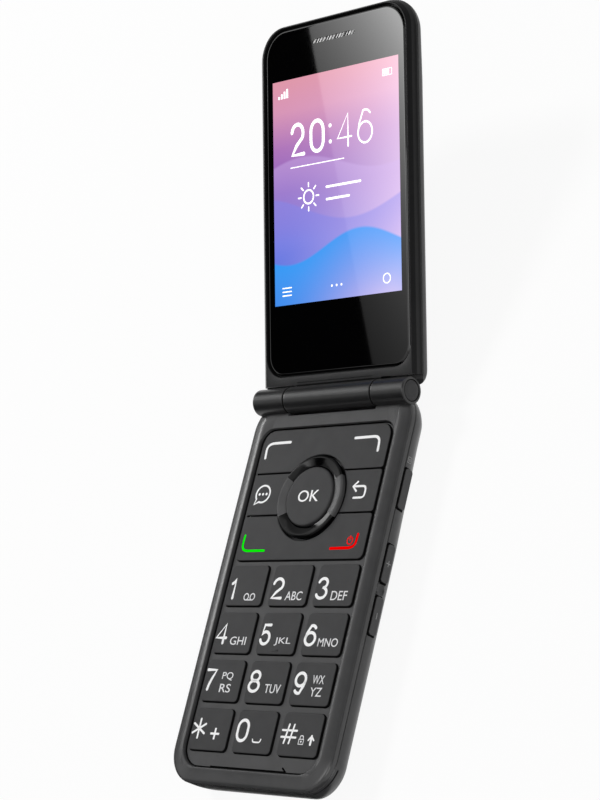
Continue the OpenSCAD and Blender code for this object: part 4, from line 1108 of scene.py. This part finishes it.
CAD_FINISHES = (
    (black_plastic, "nav_carrier loudspeaker headset_jack display_panel earpiece outer_display"),
    (steel, "side_switches vibration_motor card_socket usb_socket microphone base_screws "
            "hinge_cartridge hinge_shaft hinge_pin lid_screws"),
    (board_green, "main_board lid_board"), (sheet_film, "dome_sheet"),
    (copper_film, "flex_cable"), (cell_wrap, "battery"), (brass, "battery_contacts"),
    (mesh_black, "speaker_mesh"), (earpiece_hatch, "earpiece_grille"),
    (glass_black, "outer_window"), (lens_glass, "camera_module"), (lamp_yellow, "flash_lamp"))
for finish, names in CAD_FINISHES:
    for name in names.split():
        slots = frame["nodes"][name].data.materials
        slots.clear()
        slots.append(finish)


# ---------- stage ----------

def cleared(owner):
    """The emptied node tree of a material or a world."""
    owner.use_nodes = True
    owner.node_tree.nodes.clear()
    return owner.node_tree


def looked_at(tree):
    """One where the camera, a mirror or glass looks, and nought for the light."""
    rays = add_node(tree, "LightPath").outputs
    return calc(tree, "MAXIMUM", rays["Is Camera Ray"], calc(
        tree, "MAXIMUM", rays["Is Glossy Ray"], rays["Is Transmission Ray"]))


def columns(*axes):
    """A matrix whose columns are three directions and a place."""
    return Matrix([(*axis, 0) for axis in axes[:3]] + [(*axes[3], 1)]).transposed()


def set_up(name, size, material, place):
    """A flat square of the stage."""
    bm = bmesh.new()
    bmesh.ops.create_grid(bm, x_segments=1, y_segments=1, size=size)
    thing = add_object(name, mesh_of(name, moved(bm, place)))
    thing.data.materials.append(material)
    return thing


# The floor: nearly white where it is looked at, and a matt surface to the light
FLOOR_GLOW = 0.92
pale_floor = bpy.data.materials.new("pale_floor")
tree = cleared(pale_floor)
matt = add_node(tree, "BsdfDiffuse", {"Color": (0.85, 0.85, 0.85, 1)})
glow = add_node(tree, "Emission", {"Strength": 1.0})
mix = add_node(tree, "MixShader", {"Fac": calc(tree, "MULTIPLY", looked_at(tree), FLOOR_GLOW),
                                   1: matt.outputs[0], 2: glow.outputs[0]})
add_node(tree, "OutputMaterial", {"Surface": mix.outputs[0]})
set_up("floor", 4, pale_floor, Matrix.Identity(4))


def glow_material(name, strength):
    """A plain glow, whose strength is a number or a pattern over a card."""
    material = bpy.data.materials.new(name)
    tree = cleared(material)
    glow = add_node(tree, "Emission", {
        "Strength": strength(tree) if callable(strength) else strength})
    add_node(tree, "OutputMaterial", {"Surface": glow.outputs[0]})
    return material


# A card that the glossy window mirrors: black on its left, and lit on its right up to its far
# corner. The edge between them, and the directions up and to the right over the card.
CARD_EDGE = Vector((-0.6054, -0.0960, 0.6721))
CARD_UP = Vector((-0.0123, 0.9940, 0.1085))
CARD_RIGHT = Vector((0.7362, -0.0644, 0.6737))


def card_glow(tree):
    up, right = [calc(tree, "SUBTRACT", along(tree, direction), CARD_EDGE.dot(direction))
                 for direction in (CARD_UP, CARD_RIGHT)]
    rise = calc(tree, "ADD", calc(tree, "MULTIPLY", up, 8.5), calc(tree, "MULTIPLY", right, 24.5))
    lit = calc(tree, "MINIMUM", calc(tree, "MULTIPLY", calc(tree, "EXPONENT", rise), 0.30), 8.0)
    return calc(tree, "MULTIPLY", lit, calc(tree, "GREATER_THAN", right, 0.0))


# Flat cards that only glossy surfaces mirror: each one's glow, its middle and its two sides
flag = glow_material("black_flag", 0.0)
CARDS = {
    "gradient_card": (glow_material("gradient_card", card_glow),
                      CARD_EDGE + CARD_UP * 0.115 - CARD_RIGHT * 0.01, CARD_RIGHT * 0.2,
                      CARD_UP * 0.36),
    "left_strip": (glow_material("strip_glow", 8.5), (-1.0, 0.40, 0.465), (0, 0.45, 0),
                   (0, 0, 0.16)),
    "top_box": (glow_material("box_glow", 2.0), (-0.85, 0.36, 0.80), (0.5, 0.0, 0.45),
                (-0.15, 0.50, -0.12)),
    "zenith_box": (glow_material("zenith_glow", 4.0), (-0.10, -0.33, 1.25), (0.5, 0, 0),
                   (0, 0.5, 0)),
    "zenith_flag": (flag, (0.05, 0.55, 1.25), (1.1, 0, 0), (0, 0.9, 0)),
    "left_flag": (flag, (-1.02, 0.10, 0.19), (0, 2.0, 0), (0, 0, 0.37)),
    "front_flag": (flag, (-0.75, -0.75, 0.50), (0.7, -0.7, 0), (0.1, 0.1, 0.9)),
    "back_flag": (flag, (-0.74, 0.78, 0.36), (0.4, 0.35, 0), (-0.1, -0.15, 0.4)),
    "near_flag": (flag, (-0.09, -0.125, 0.0003), (0.24, 0, 0), (0, 0.151, 0)),
    "right_flag": (flag, (0.95, 0.15, 0.62), (0, 1.0, 0), (-0.35, 0, 0.6))}
for name, (material, middle, across, up) in CARDS.items():
    across, up = Vector(across), Vector(up)
    card = set_up(name, 0.5, material, columns(across, up, across.cross(up), middle))
    card.visible_camera = card.visible_diffuse = card.visible_shadow = False
    card.visible_transmission = False

# The room: dim for the light, and pale where it is looked at
ROOM_LIGHT = 0.30
world = bpy.data.worlds.new("studio")
bpy.context.scene.world = world
tree = cleared(world)
dim, pale = [add_node(tree, "Background", {"Strength": strength}) for strength in (ROOM_LIGHT, 1.0)]
mix = add_node(tree, "MixShader", {"Fac": looked_at(tree), 1: dim.outputs[0], 2: pale.outputs[0]})
add_node(tree, "OutputWorld", {"Surface": mix.outputs[0]})


def lamp(name, place, aim, size, watts):
    light = bpy.data.lights.new(name, "AREA")
    light.shape, light.size, light.energy = "DISK", size, watts
    thing = add_object(name, light)
    thing.location = place
    thing.rotation_euler = (Vector(aim) - Vector(place)).to_track_quat("-Z", "Y").to_euler()
    return thing


# The cards stand in for the key light in mirrors
lamp("key_light", (-0.70, 0.50, 0.95), (0, 0.03, 0.02), 0.30, 10.0).visible_glossy = False
lamp("fill_light", (0.9, -0.5, 0.7), (0, 0, 0.02), 0.6, 5.0)

# ---------- camera ----------

camera_data = bpy.data.cameras.new("camera")
camera_data.lens, camera_data.sensor_width = 97.85, 36
camera_data.clip_start, camera_data.clip_end = 0.01, 20
camera = add_object("camera", camera_data)
# Its right, up and backward directions, and its place
camera.matrix_world = columns((0.712900, 0.228318, -0.663056), (0.062328, 0.921143, 0.384202),
                              (0.698490, -0.315224, 0.642453), (0.363732, -0.121681, 0.355656))
bpy.context.scene.camera = camera

bpy.context.scene.view_settings.view_transform = "Standard"
